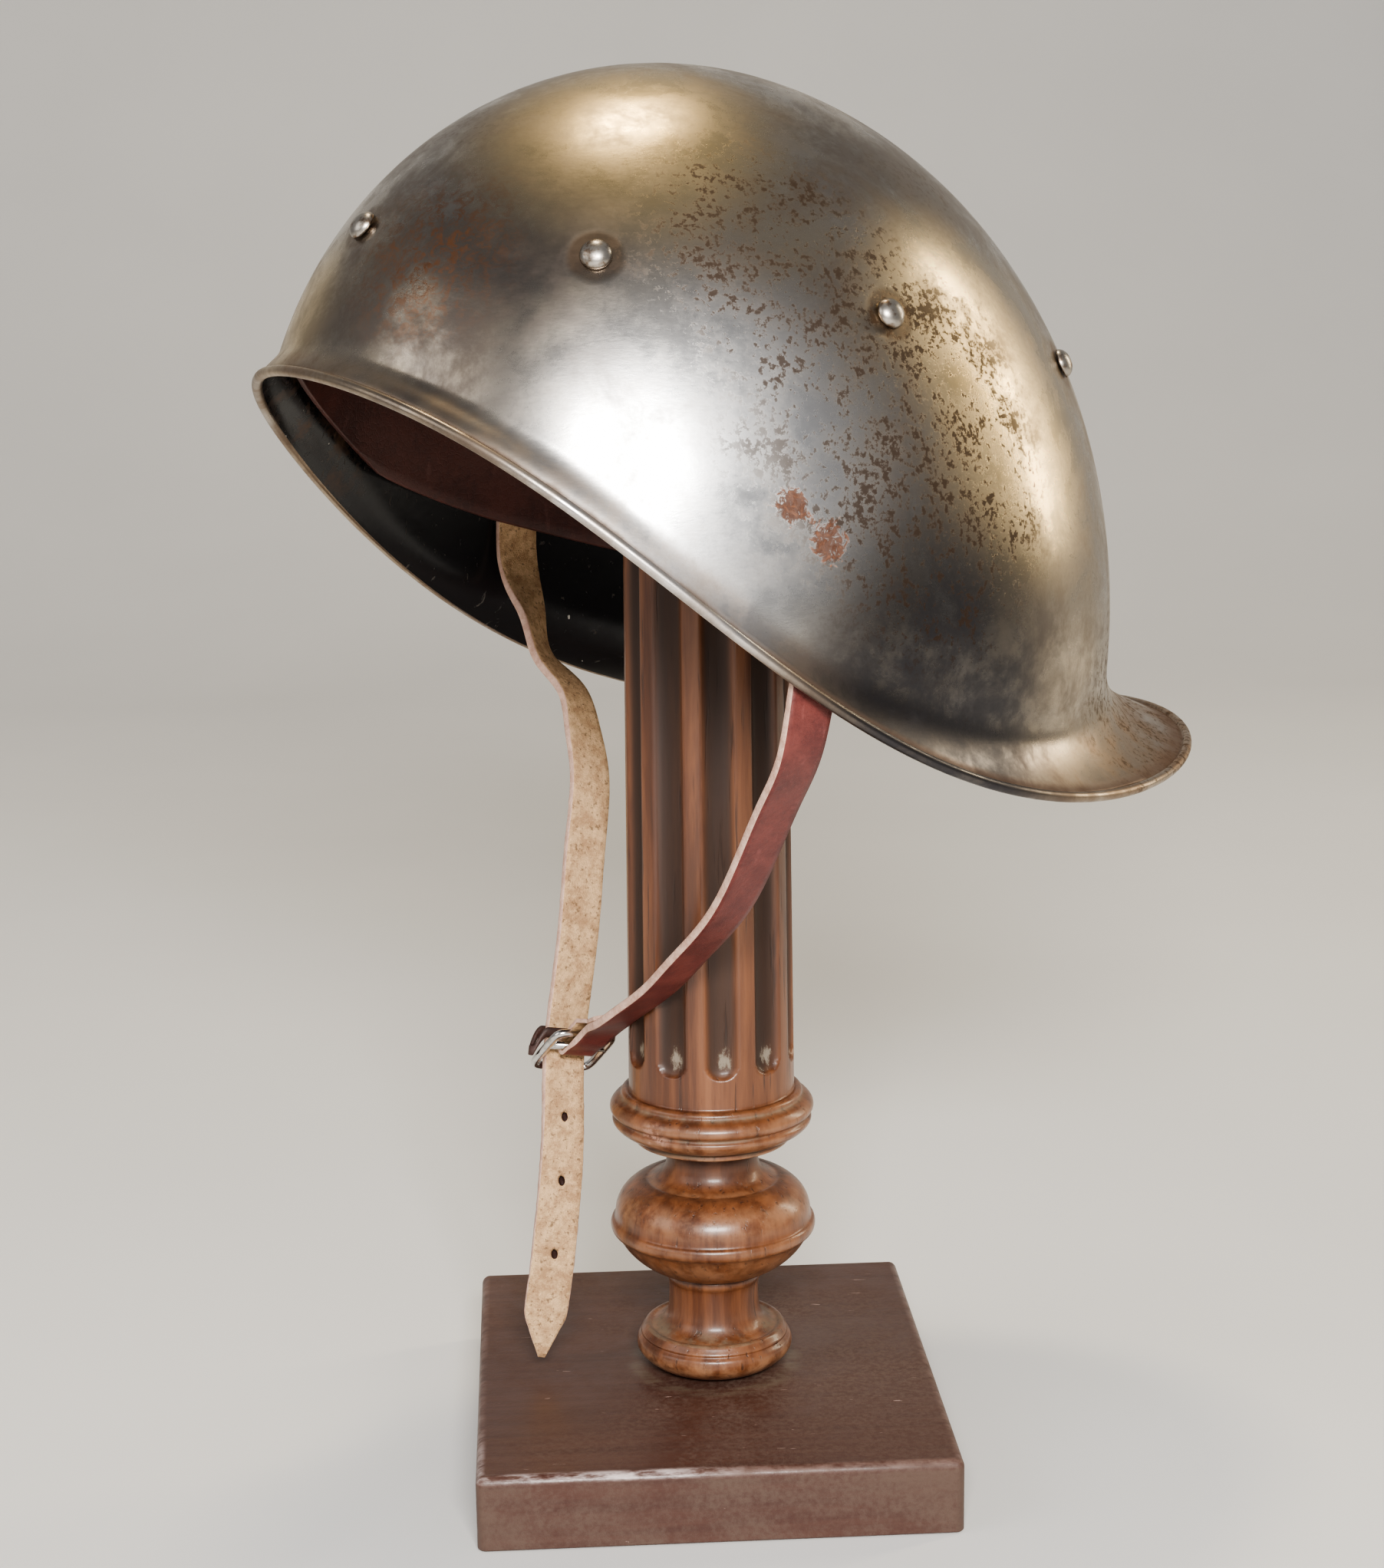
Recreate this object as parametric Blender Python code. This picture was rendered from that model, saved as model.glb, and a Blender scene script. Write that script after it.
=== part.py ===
# Steel skull-cap helmet (cervelliere) with its chin strap, resting on a turned wooden stand.
# Metres, +Z up. The origin is the centre of the square base's underside.
import bpy
import bmesh
import numpy as np
from math import radians, degrees, pi

for old in list(bpy.data.objects):
    bpy.data.objects.remove(old, do_unlink=True)

MM = 0.001
GAP = 0.30                     # clearance between neighbouring pieces, mm

# Board, and the level just above it that every height below is counted from.
BASE_W, BASE_D, BASE_H, BASE_EDGE = 130.0, 142.6, 20.7, 2.4
SEAT_Z = BASE_H + GAP

# Helmet frame: +x to the nape, +z up through the crown, origin in the plane of the rivets.
HELMET_YAW = 27.2              # degrees about Z, from the base's +X
HELMET_TILT = 12.4             # brow up, nape down
HELMET_AT = (2.1, -0.1, SEAT_Z + 301.6)

# Skull: two half ellipsoids in length, one half width.
SHEET = 1.2
HALF_FRONT, HALF_REAR, HALF_WIDTH, CROWN_Z, APEX_X = 106.3, 143.0, 100.0, 59.8, -2.8
WIDEST_Z = {"brow": -46.3, "side": -76.6, "nape": -102.0}
# Rim (centre line of the rolled edge) as cosine and sine terms of the bearing from the nape.
RIM_X = (16.7, 140.2, 14.8, 2.8)
RIM_Y = (106.0, 3.4, 2.8)
RIM_Z = (-80.4, -31.2, 16.9, 5.9)
FLARE_RISE = (15.5, 7.0, -0.5)         # height of the outward sweep: mean, cos, cos 2
RIM_DROOP = (55.0, -36.0, -7.0)        # degrees below level at the edge: mean, cos, cos 2
ROLL_R = 1.4
N_ROUND = 48
DOME_ROWS = (0.12, 0.26, 0.40, 0.53, 0.66, 0.78, 0.89, 1.0)
FLARE_ROWS = (1.3, 1.6)

# Rivets: bearing from the brow, both sides.
RIVET_BEARINGS = (0.0, 46.0, 93.6, 137.0, 180.0)
RIVET_Z, RIVET_HEAD_R, RIVET_HEAD_H, SHANK_R = 0.0, 3.95, 3.2, 1.7
WASHER_R, WASHER_T = 3.2, 1.1
HOLE_R = SHANK_R + GAP

# Leather band inside.
LINER_T, LINER_TOP_Z = 1.8, 11.0
LINER_EDGE = (-62.4, -17.2, 5.2, -1.5)  # lower edge: mean, cos, cos 2, cos 3
LINER_OFF, LINER_STANDOFF = 1.0, 3.3    # clear of the sheet; extra at the edge and over the straps

# Straps.
STRAP_W, STRAP_T, SKIVED_T = 12.5, 2.2, 1.2
STRAP_CLEAR = 1.1
STRAP_BEARING = 180.0 - RIVET_BEARINGS[2]
WIRE_R, BAR_R = 1.2, 1.2
FRAME_HALF_W, FRAME_HALF_L, FRAME_ROUND = 9.1, 8.9, 7.0
FRAME_AT = (-34.7, 6.7, SEAT_Z + 93.4)     # on the bar
BAR_BACK = 2.2                           # from the frame's middle, towards the left strap
FRAME_W_DIR = (0.875, 0.43, -0.22)
FRAME_RUN = (-0.52, 0.52, -0.67)
RETURN_L, END_W, TAPER_L = 22.0, 9.8, 26.0   # the left strap's end: folded back, narrowed over a length
KEEPER_T, KEEPER_H, KEEPER_SAG, KEEPER_SLACK, KEEPER_UP = 1.0, 2.8, 5.6, 3.6, 2.45

# Stand.
COLUMN_AT = (3.0, -0.4)
N_FLUTES, FLUTE_DEPTH, FLUTE_HALF = 10, 2.2, 0.26
FLUTE_TURN = -86.3
SHAFT_FOOT_R, SHAFT_TOP_R = 23.4, 22.0
SHAFT_FOOT_Z, FLUTE_FOOT_Z, FLUTE_TOP_Z = SEAT_Z + 83.7, SEAT_Z + 95.0, SEAT_Z + 279.0
SHAFT_END_Z = FLUTE_TOP_Z + 10.0
COLUMN_CAP_R = 60.0
COLUMN_RAY_Z = SEAT_Z + 229.0           # a level inside the bowl's mouth, below its crown
SEAT = np.array([0.0, 0.0, SEAT_Z])


def unit(v):
    v = np.asarray(v, float)
    return v / np.linalg.norm(v, axis=-1, keepdims=True)


def turn(yaw, tilt):
    c, s = np.cos(radians(yaw)), np.sin(radians(yaw))
    ct, st = np.cos(radians(tilt)), np.sin(radians(tilt))
    return np.array([[c, -s, 0], [s, c, 0], [0, 0, 1.0]]) @ np.array(
        [[ct, 0, st], [0, 1, 0], [-st, 0, ct]])


POSE = turn(HELMET_YAW, HELMET_TILT)


def placed(p):
    """Helmet frame to the stand's frame, both mm."""
    return np.asarray(p) @ POSE.T + np.array(HELMET_AT)


def terms(row, phi):
    return sum(a * np.cos(i * phi) for i, a in enumerate(row))


def widest_z(phi):
    k = np.cos(phi)
    end = WIDEST_Z["nape"] if k > 0 else WIDEST_Z["brow"]
    return WIDEST_Z["side"] + (end - WIDEST_Z["side"]) * k * k


def dome(phi, t):
    """Outer surface of the bowl: bearing phi from the nape, t from the crown."""
    k, zc = np.cos(phi), widest_z(phi)
    half = HALF_REAR if k > 0 else HALF_FRONT
    return np.array([APEX_X + half * k * np.sin(t), HALF_WIDTH * np.sin(phi) * np.sin(t),
                     zc + (CROWN_Z - zc) * np.cos(t)])


def dome_t(phi, z):
    zc = widest_z(phi)
    return np.arccos(np.clip((z - zc) / (CROWN_Z - zc), -1, 1))


def rim(phi):
    return np.array([terms(RIM_X, phi), sum(a * np.sin((i + 1) * phi) for i, a in enumerate(RIM_Y)),
                     terms(RIM_Z, phi)])


def rim_frame(phi):
    """Centre of the roll, direction of the wall at the edge, its outward normal."""
    e = 1e-4
    along = unit(rim(phi + e) - rim(phi - e))
    out = unit(np.array([along[1], -along[0], 0.0]))
    b = radians(terms(RIM_DROOP, phi))
    down = np.cos(b) * out - np.sin(b) * np.array([0, 0, 1.0])
    down = unit(down - down @ along * along)
    normal = unit(np.cross(down, along))
    if normal @ (out + np.array([0, 0, 0.3])) < 0:
        normal = -normal
    return rim(phi), down, normal


def outer(phi, u):
    """Outer wall: u 0..1 over the bowl, 1..2 down the sweep to the rim."""
    z1 = terms(RIM_Z, phi) + terms(FLARE_RISE, phi)
    t1 = dome_t(phi, z1)
    if u <= 1:
        return dome(phi, u * t1)
    a = dome(phi, t1)
    da = unit(dome(phi, t1 + 1e-4) - dome(phi, t1 - 1e-4))
    centre, down, normal = rim_frame(phi)
    b = centre - normal * (ROLL_R - SHEET)
    reach = np.linalg.norm(b - a) * 0.42
    s = u - 1.0
    q = (a, a + da * reach, b - down * reach, b)
    return ((1 - s) ** 3 * q[0] + 3 * (1 - s) ** 2 * s * q[1] + 3 * (1 - s) * s * s * q[2]
            + s ** 3 * q[3])


def wall(phi, u, inward):
    """A point the given distance inside the outer wall."""
    e = 1e-3
    p = outer(phi, u)
    du = outer(phi, min(u + e, 2.0)) - outer(phi, u - e)
    dp = outer(phi + e, u) - outer(phi - e, u)
    return p - unit(np.cross(du, dp)) * inward


def at_level(phi, z, inward):
    z1 = terms(RIM_Z, phi) + terms(FLARE_RISE, phi)
    return wall(phi, dome_t(phi, z) / dome_t(phi, z1), inward)


def material(name, rgb, rough, metal=0.0):
    m = bpy.data.materials.new(name)
    m.use_nodes = True
    b = m.node_tree.nodes["Principled BSDF"]
    b.inputs["Base Color"].default_value = (*rgb, 1)
    b.inputs["Roughness"].default_value = rough
    b.inputs["Metallic"].default_value = metal
    m.diffuse_color = (*rgb, 1)
    return m


def add(name, rings, closed, rgb, rough, metal=0.0, ends="fan"):
    """A solid from rings of equal length, mm; closed joins the last ring to the first."""
    rings = [np.asarray(r, float) for r in rings]
    n = len(rings[0])
    bm = bmesh.new()
    grid = [[bm.verts.new(p * MM) for p in r] for r in rings]
    pairs = list(zip(grid, grid[1:])) + ([(grid[-1], grid[0])] if closed else [])
    for a, b in pairs:
        for i in range(n):
            j = (i + 1) % n
            bm.faces.new((a[i], a[j], b[j], b[i]))
    if not closed:
        for ring, mean in ((grid[0], rings[0]), (grid[-1], rings[-1])):
            if ends == "flat":
                bm.faces.new(ring)
            else:
                tip = bm.verts.new(mean.mean(0) * MM)
                for i in range(n):
                    bm.faces.new((ring[i], ring[(i + 1) % n], tip))
    return finish(name, bm, rgb, rough, metal)


def finish(name, bm, rgb, rough, metal=0.0):
    bmesh.ops.recalc_face_normals(bm, faces=bm.faces)
    bmesh.ops.triangulate(bm, faces=[f for f in bm.faces if len(f.verts) > 4])
    me = bpy.data.meshes.new(name)
    bm.to_mesh(me)
    bm.free()
    for p in me.polygons:
        p.use_smooth = True
    ob = bpy.data.objects.new(name, me)
    bpy.context.scene.collection.objects.link(ob)
    me.materials.append(material(name, rgb, rough, metal))
    return ob


def boolean(ob, cutters, kind="DIFFERENCE"):
    for i, c in enumerate(cutters):
        m = ob.modifiers.new(f"cut_{i}", "BOOLEAN")
        m.operation, m.solver, m.object = kind, "EXACT", c
        c.hide_render, c.display_type = True, "WIRE"
        bpy.context.view_layer.objects.active = ob
        bpy.ops.object.modifier_apply(modifier=m.name)
        bpy.data.objects.remove(c, do_unlink=True)


def pin(name, at, axis, r, lo, hi, n=10):
    """A plain cylinder along an axis, mm."""
    axis = unit(axis)
    side = unit(np.cross(axis, (0.3, 0.5, 0.81)))
    up = np.cross(axis, side)
    a = np.arange(n) * 2 * pi / n
    ring = np.outer(np.cos(a), side) * r + np.outer(np.sin(a), up) * r
    return add(name, [at + axis * lo + ring, at + axis * hi + ring], False, (0.5,) * 3, 0.5, ends="flat")


def spline(knots, values, at):
    """A natural smooth curve through rows of values."""
    knots, values = np.asarray(knots, float), np.asarray(values, float)
    h = np.diff(knots)
    m = np.zeros((len(knots), values.shape[1]))
    a = np.eye(len(knots))
    for i in range(1, len(knots) - 1):
        a[i, i - 1:i + 2] = h[i - 1], 2 * (h[i - 1] + h[i]), h[i]
        m[i] = 6 * ((values[i + 1] - values[i]) / h[i] - (values[i] - values[i - 1]) / h[i - 1])
    m = np.linalg.solve(a, m)
    out = []
    for x in np.atleast_1d(at):
        i = int(np.clip(np.searchsorted(knots, x) - 1, 0, len(h) - 1))
        p, q = (knots[i + 1] - x), (x - knots[i])
        out.append((m[i] * p ** 3 + m[i + 1] * q ** 3) / (6 * h[i])
                   + (values[i] / h[i] - m[i] * h[i] / 6) * p
                   + (values[i + 1] / h[i] - m[i + 1] * h[i] / 6) * q)
    return np.array(out)


def ribbon(name, path, wide, thick, half, rgb, rough):
    """A flat strap along a path: width direction, thickness and half width at each section."""
    path = np.asarray(path, float)
    run = unit(np.gradient(path, axis=0))
    wide = unit(np.asarray(wide) - (np.asarray(wide) * run).sum(1)[:, None] * run)
    face = np.cross(run, wide)
    rings = []
    for p, w, f, t, h in zip(path, wide, face, thick, half):
        rings.append([p + w * h * a + f * t / 2 * b for a, b in ((-1, -1), (1, -1), (1, 1), (-1, 1))])
    return add(name, rings, False, rgb, rough, ends="flat")


def smooth(x):
    x = np.clip(x, 0, 1)
    return x * x * (3 - 2 * x)


def liner_off(phi, s):
    """How far inside the outer wall the band's outer face lies; s runs 0 at the top to 1."""
    side = abs(abs(((degrees(phi) + 180) % 360) - 180) - STRAP_BEARING)
    over_strap = 1 - smooth((side - 12.0) / 12.0)
    at_edge = smooth((s - 0.25) / 0.6) * (0.2 + 0.8 * np.sin(phi) ** 2)
    return SHEET + LINER_OFF + LINER_STANDOFF * max(over_strap, at_edge)


def liner_z(phi, s):
    return LINER_TOP_Z + (terms(LINER_EDGE, phi) - LINER_TOP_Z) * s


ROUND = np.arange(N_ROUND) * 2 * pi / N_ROUND
SIDES = [(b, s) for b in RIVET_BEARINGS for s in ((1,) if b in (0.0, 180.0) else (1, -1))]


def rivet_site(bearing, side):
    """Bearing from the brow, side +1 or -1: point on the outer wall and outward axis."""
    phi = pi - radians(bearing) * side
    p = at_level(phi, RIVET_Z, 0.0)
    return phi, placed(p), unit(POSE @ (p - at_level(phi, RIVET_Z, 1.0)))


def build_skull():
    rings = []
    for f in DOME_ROWS + FLARE_ROWS:
        rings.append([outer(a, f) for a in ROUND])
    frames = [rim_frame(a) for a in ROUND]
    back = np.sqrt(ROLL_R ** 2 - (ROLL_R - SHEET) ** 2)
    rings.append([c - n * (ROLL_R - SHEET) - d * back for c, d, n in frames])
    for ang in (144, 90, 36, -18, -58):
        ca, sa = np.cos(radians(ang)), np.sin(radians(ang))
        rings.append([c + ROLL_R * (ca * d + sa * n) for c, d, n in frames])
    rings.append([c - ROLL_R * n for c, d, n in frames])
    for f in FLARE_ROWS[::-1] + DOME_ROWS[::-1]:
        rings.append([wall(a, f, SHEET) for a in ROUND])
    bm = bmesh.new()
    grid = [[bm.verts.new(placed(p) * MM) for p in r] for r in rings]
    for a, b in zip(grid, grid[1:]):
        for i in range(N_ROUND):
            j = (i + 1) % N_ROUND
            bm.faces.new((a[i], a[j], b[j], b[i]))
    for ring, drop in ((grid[0], 0.0), (grid[-1], SHEET)):
        tip = bm.verts.new(placed((APEX_X, 0, CROWN_Z - drop)) * MM)
        for i in range(N_ROUND):
            bm.faces.new((ring[i], ring[(i + 1) % N_ROUND], tip))
    ob = finish("skull", bm, (0.56, 0.54, 0.50), 0.3, 1.0)
    holes = []
    for b, s in SIDES:
        phi, at, axis = rivet_site(b, s)
        holes.append(pin(f"hole_{b}_{s}", at, axis, HOLE_R, -8.0, 5.0))
    boolean(ob, holes)
    return ob


def build_liner():
    rows = np.linspace(0, 1, 6)
    outside = [[at_level(a, liner_z(a, s), liner_off(a, s)) for a in ROUND] for s in rows]
    inside = [[at_level(a, liner_z(a, s), liner_off(a, s) + LINER_T) for a in ROUND]
              for s in rows[::-1]]
    rings = [placed(np.array(r)) for r in outside + inside]
    ob = add("liner", rings, True, (0.22, 0.06, 0.04), 0.45)
    holes = []
    for b, s in SIDES:
        phi, at, axis = rivet_site(b, s)
        holes.append(pin(f"hole_{b}_{s}", at, axis, HOLE_R, -14.0, 4.0))
    boolean(ob, holes)
    return ob


def build_rivets():
    obs = []
    for k, (b, s) in enumerate(SIDES):
        phi, at, axis = rivet_site(b, s)
        top_s = (LINER_TOP_Z - RIVET_Z) / (LINER_TOP_Z - terms(LINER_EDGE, phi))
        deep = liner_off(phi, top_s) + LINER_T + 2 * GAP
        rows = ((1.8, RIVET_HEAD_H), (3.4, RIVET_HEAD_H * 0.6), (RIVET_HEAD_R, GAP + 0.1),
                (SHANK_R, GAP + 0.1), (SHANK_R, -deep), (WASHER_R, -deep), (WASHER_R - 0.3, -deep - WASHER_T))
        side = unit(np.cross(axis, (0, 0, 1)))
        up = np.cross(side, axis)
        a = np.arange(10) * 2 * pi / 10
        rings = [at + axis * h + np.outer(np.cos(a), side) * r + np.outer(np.sin(a), up) * r
                 for r, h in rows]
        obs.append(add(f"rivet_{k + 1}", rings, False, (0.62, 0.60, 0.56), 0.3, 1.0, ends="flat"))
    return obs


def frame_axes():
    w = unit(FRAME_W_DIR)
    r = unit(np.array(FRAME_RUN) - np.array(FRAME_RUN) @ w * w)
    return w, r, np.cross(w, r)


def in_wall(side, rows):
    """Strap behind the band, rows of bearing from the nape and level: centre line, width direction."""
    deep, e = SHEET + STRAP_CLEAR + STRAP_T / 2, 1e-3
    pts = [placed(at_level(side * radians(b), z, deep)) for b, z in rows]
    wide = [unit(placed(at_level(radians(b) * side - side * e, z, deep))
                 - placed(at_level(radians(b) * side + side * e, z, deep))) for b, z in rows]
    return pts, wide


# Hanging part of the left strap: centre line to the buckle, mm in the stand's frame.
LEFT_HANG = (  # x, y, height above the seat
    (18.8, -97.0, 196.6), (15.2, -88.4, 184.5), (10.4, -78.8, 169.4), (3.9, -65.6, 151.0),
    (-6.6, -46.4, 132.3), (-11.7, -37.1, 123.7), (-19.1, -23.6, 113.5), (-24.9, -12.9, 106.1))
# Right strap from where it leaves the wall: centre line, bearing of its width, share of full width.
RIGHT_HANG = (  # x, y, height above the seat, bearing, share
    (-48.0, 78.9, 220.8, 31, 1), (-44.7, 68.7, 208.3, 66, 1), (-40.6, 57.4, 196.3, 76, 1),
    (-33.2, 49.0, 188.4, 62, 1), (-30.5, 41.8, 178.4, 46, 1), (-29.0, 35.7, 168.2, 37, 1),
    (-30.8, 25.8, 147.8, 29, 1), (-33.1, 18.9, 127.0, 27, 1), (-36.3, 14.4, 105.6, 27, 1),
    (-38.5, 10.6, 89.4, 27, 1), (-39.1, 7.8, 73.5, 23, 1), (-40.0, 5.0, 58.0, 15, 1),
    (-41.9, 1.4, 41.2, 9, 1), (-43.3, -0.5, 30.4, 5, 1), (-45.1, -2.4, 19.5, 4, 1),
    (-45.6, -3.0, 16.3, 4, 0.98), (-47.0, -4.8, 4.7, 4, 0.16))
HOLE_LEVELS = (73.9, 54.9, 34.9)


def build_left_strap():
    w, r, up = frame_axes()
    at = np.array(FRAME_AT)
    inner, along = in_wall(-1, ((STRAP_BEARING, 9.0), (STRAP_BEARING, 0.0), (87.6, -20.0), (89.2, -42.0),
                                (91.0, -62.0), (92.6, -78.0)))
    off = BAR_R + GAP + STRAP_T / 2
    bend = BAR_R + GAP + SKIVED_T / 2
    tail = [at - up * (off + 0.4) - r * 12.0, at - up * (off + 0.2) - r * 7.5,
            at - up * (bend + 0.2) - r * 2.6]
    pts = [np.array(p) for p in inner] + [np.array(p) + SEAT for p in LEFT_HANG] + tail
    wide = (along + [unit((0.86, 0.50, 0.0))] * 6
            + [unit((0.87, 0.49, -0.02)), unit((0.87, 0.48, -0.05))] + [w] * 3)
    thick0 = wide
    thick = [STRAP_T] * (len(pts) - 1) + [SKIVED_T]
    rows = np.hstack([pts, wide, np.array(thick)[:, None]])
    knots = np.concatenate([[0], np.cumsum(np.linalg.norm(np.diff(pts, axis=0), axis=1))])
    steps = np.concatenate([np.linspace(0, knots[-3], 24), np.linspace(knots[-3], knots[-1], 4)[1:]])
    rows = spline(knots, rows, steps)
    path, wide, thick = list(rows[:, :3]), list(rows[:, 3:6]), list(np.clip(rows[:, 6], SKIVED_T, STRAP_T))
    for ang in (-90, -55, -20, 15, 50, 90):
        a = radians(ang)
        path.append(at + bend * (np.cos(a) * r + np.sin(a) * up))
        wide.append(w)
        thick.append(SKIVED_T)
    for back in (3.5, 7.0, 10.0):
        path.append(at + up * (bend + 0.05) - r * back)
        wide.append(w)
        thick.append(SKIVED_T)
    apart = (STRAP_T + SKIVED_T) / 2 + GAP
    for back in (14.0, 18.0, RETURN_L):
        q = spline(knots, np.hstack([pts, np.array(thick0)]), [knots[-1] - back - 0.5, knots[-1] - back])
        run = unit(q[1, :3] - q[0, :3])
        path.append(q[1, :3] - unit(np.cross(run, q[1, 3:6])) * apart)
        wide.append(q[1, 3:6])
        thick.append(SKIVED_T)
    along = np.concatenate([[0], np.cumsum(np.linalg.norm(np.diff(path, axis=0), axis=1))])
    half = (END_W + (STRAP_W - END_W) * smooth((knots[-1] - 4.0 - along) / TAPER_L)) / 2
    ob = ribbon("strap_left", path, wide, thick, half, (0.24, 0.05, 0.04), 0.45)
    phi, site, axis = rivet_site(RIVET_BEARINGS[2], -1)
    boolean(ob, [pin("hole", site, axis, HOLE_R, -10.0, 4.0)])
    return ob


def build_right_strap():
    inner, along = in_wall(1, ((STRAP_BEARING, 9.0), (STRAP_BEARING, 0.0), (86.4, -22.0), (86.4, -44.0),
                               (86.0, -64.0)))
    rows = [[*p, *w, STRAP_W / 2] for p, w in zip(inner, along)]
    for x, y, z, b, h in RIGHT_HANG:
        rows.append([x, y, SEAT_Z + z, np.cos(radians(b)), np.sin(radians(b)), 0, h * STRAP_W / 2])
    rows = np.array(rows)
    knots = np.concatenate([[0], np.cumsum(np.linalg.norm(np.diff(rows[:, :3], axis=0), axis=1))])
    steps = np.concatenate([np.linspace(0, knots[-3], 38), np.linspace(knots[-3], knots[-1], 4)[1:]])
    out = spline(knots, rows, steps)
    end = np.interp(steps, knots, rows[:, 6])
    ob = ribbon("strap_right", out[:, :3], out[:, 3:6], [STRAP_T] * len(out), end, (0.62, 0.47, 0.33), 0.85)
    phi, site, axis = rivet_site(RIVET_BEARINGS[2], 1)
    cuts = [pin("hole", site, axis, HOLE_R, -10.0, 4.0)]
    for z in SEAT_Z + np.array(HOLE_LEVELS):
        i = int(np.argmin(abs(out[:, 2] - z)))
        f = np.interp(z, out[::-1, 2], np.arange(len(out))[::-1])
        p = np.array([np.interp(f, np.arange(len(out)), out[:, c]) for c in range(3)])
        face = unit(np.cross(out[i, 3:6], (0, 0, 1)))
        cuts.append(pin("hole", p, face, 0.95, -4.0, 4.0, 8))
    boolean(ob, cuts)
    return ob


def build_buckle():
    w, r, up = frame_axes()
    at = np.array(FRAME_AT)
    n, m = 28, 7
    corners, path = FRAME_ROUND, []
    for i in range(n):
        a = 2 * pi * i / n
        c, s = np.cos(a), np.sin(a)
        path.append(at + w * FRAME_HALF_W * np.sign(c) * abs(c) ** (2 / corners)
                    + r * (BAR_BACK + FRAME_HALF_L * np.sign(s) * abs(s) ** (2 / corners)))
    path = np.array(path)
    run = unit(np.roll(path, -1, 0) - np.roll(path, 1, 0))
    a = np.arange(m) * 2 * pi / m
    rings = []
    for p, d in zip(path, run):
        out = np.cross(d, up)
        rings.append([p + WIRE_R * (np.cos(x) * out + np.sin(x) * up) for x in a])
    ob = add("buckle_frame", rings, True, (0.6, 0.59, 0.57), 0.25, 1.0)
    bar = pin("bar", at, w, BAR_R, -FRAME_HALF_W - 0.3, FRAME_HALF_W + 0.3, 8)
    boolean(ob, [bar], "UNION")
    return ob


def build_keeper():
    """A small leather loop round the right strap just above the buckle, its free side sagging."""
    rows = np.array(RIGHT_HANG)[8:10] + (0, 0, SEAT_Z, 0, 0)
    z0 = FRAME_AT[2] + KEEPER_UP
    f = (rows[0, 2] - z0) / (rows[0, 2] - rows[1, 2])
    p = rows[0, :3] + (rows[1, :3] - rows[0, :3]) * f
    run = unit(rows[0, :3] - rows[1, :3])
    b = radians(rows[0, 3])
    t = unit(np.array([-np.sin(b), np.cos(b), 0]) - run * (run @ (-np.sin(b), np.cos(b), 0)))
    w = np.cross(t, run)
    a, c, k, slack = STRAP_W / 2 + GAP + 0.3, STRAP_T / 2 + GAP + 0.1, KEEPER_T, KEEPER_SLACK
    inner = ((-a - slack, 0.0), (-a - slack * 0.6, -c * 0.8), (-a + 0.8, -c), (a - 0.4, -c), (a, -c * 0.6),
             (a, c * 0.6), (a - 0.4, c), (-a + 0.8, c), (-a - slack * 0.6, c * 0.8))
    outside = ((-a - slack - k, 0.0), (-a - slack * 0.8 - k * 0.5, -c - k * 0.5), (-a + 0.4, -c - k),
               (a, -c - k), (a + k, -c * 0.6 - k * 0.3), (a + k, c * 0.6 + k * 0.3), (a, c + k),
               (-a + 0.4, c + k), (-a - slack * 0.8 - k * 0.5, c + k * 0.5))
    rings = []
    for (iu, iv), (ou, ov) in zip(inner, outside):
        drop = KEEPER_SAG * smooth((-iu - a) / slack)
        rings.append([p + w * u + t * v + run * (z - drop) for u, v, z in (
            (iu, iv, -KEEPER_H / 2), (ou, ov, -KEEPER_H / 2), (ou, ov, KEEPER_H / 2), (iu, iv, KEEPER_H / 2))])
    return add("strap_keeper", rings, True, (0.13, 0.05, 0.035), 0.5)


COLUMN = (  # radius, height above the seat: foot, stem, vase, neck, collar, from the bottom up
    (15.0, 0.0), (19.6, 2.3), (22.4, 5.4), (22.2, 8.2), (20.4, 10.8), (19.7, 12.0), (18.6, 12.2),
    (17.8, 11.6), (15.0, 12.8), (13.3, 15.2), (12.8, 19.0), (12.8, 25.4), (13.5, 26.4), (13.5, 27.9),
    (13.1, 28.5), (17.0, 29.8), (21.6, 32.6), (25.4, 36.4), (27.5, 40.2), (28.9, 41.0), (29.3, 42.6),
    (28.9, 44.1), (27.9, 44.6), (27.7, 48.2), (26.1, 51.7), (22.8, 54.6), (19.2, 56.0), (18.2, 55.7),
    (14.8, 57.2), (13.0, 60.4), (13.2, 64.6), (15.6, 67.3), (21.8, 67.7), (22.2, 68.6), (21.8, 69.5),
    (25.6, 71.2), (28.5, 74.6), (28.8, 77.6), (27.4, 80.2), (26.0, 81.0), (25.6, 82.2), (24.6, 83.0),
    (23.5, 82.8))


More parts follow.
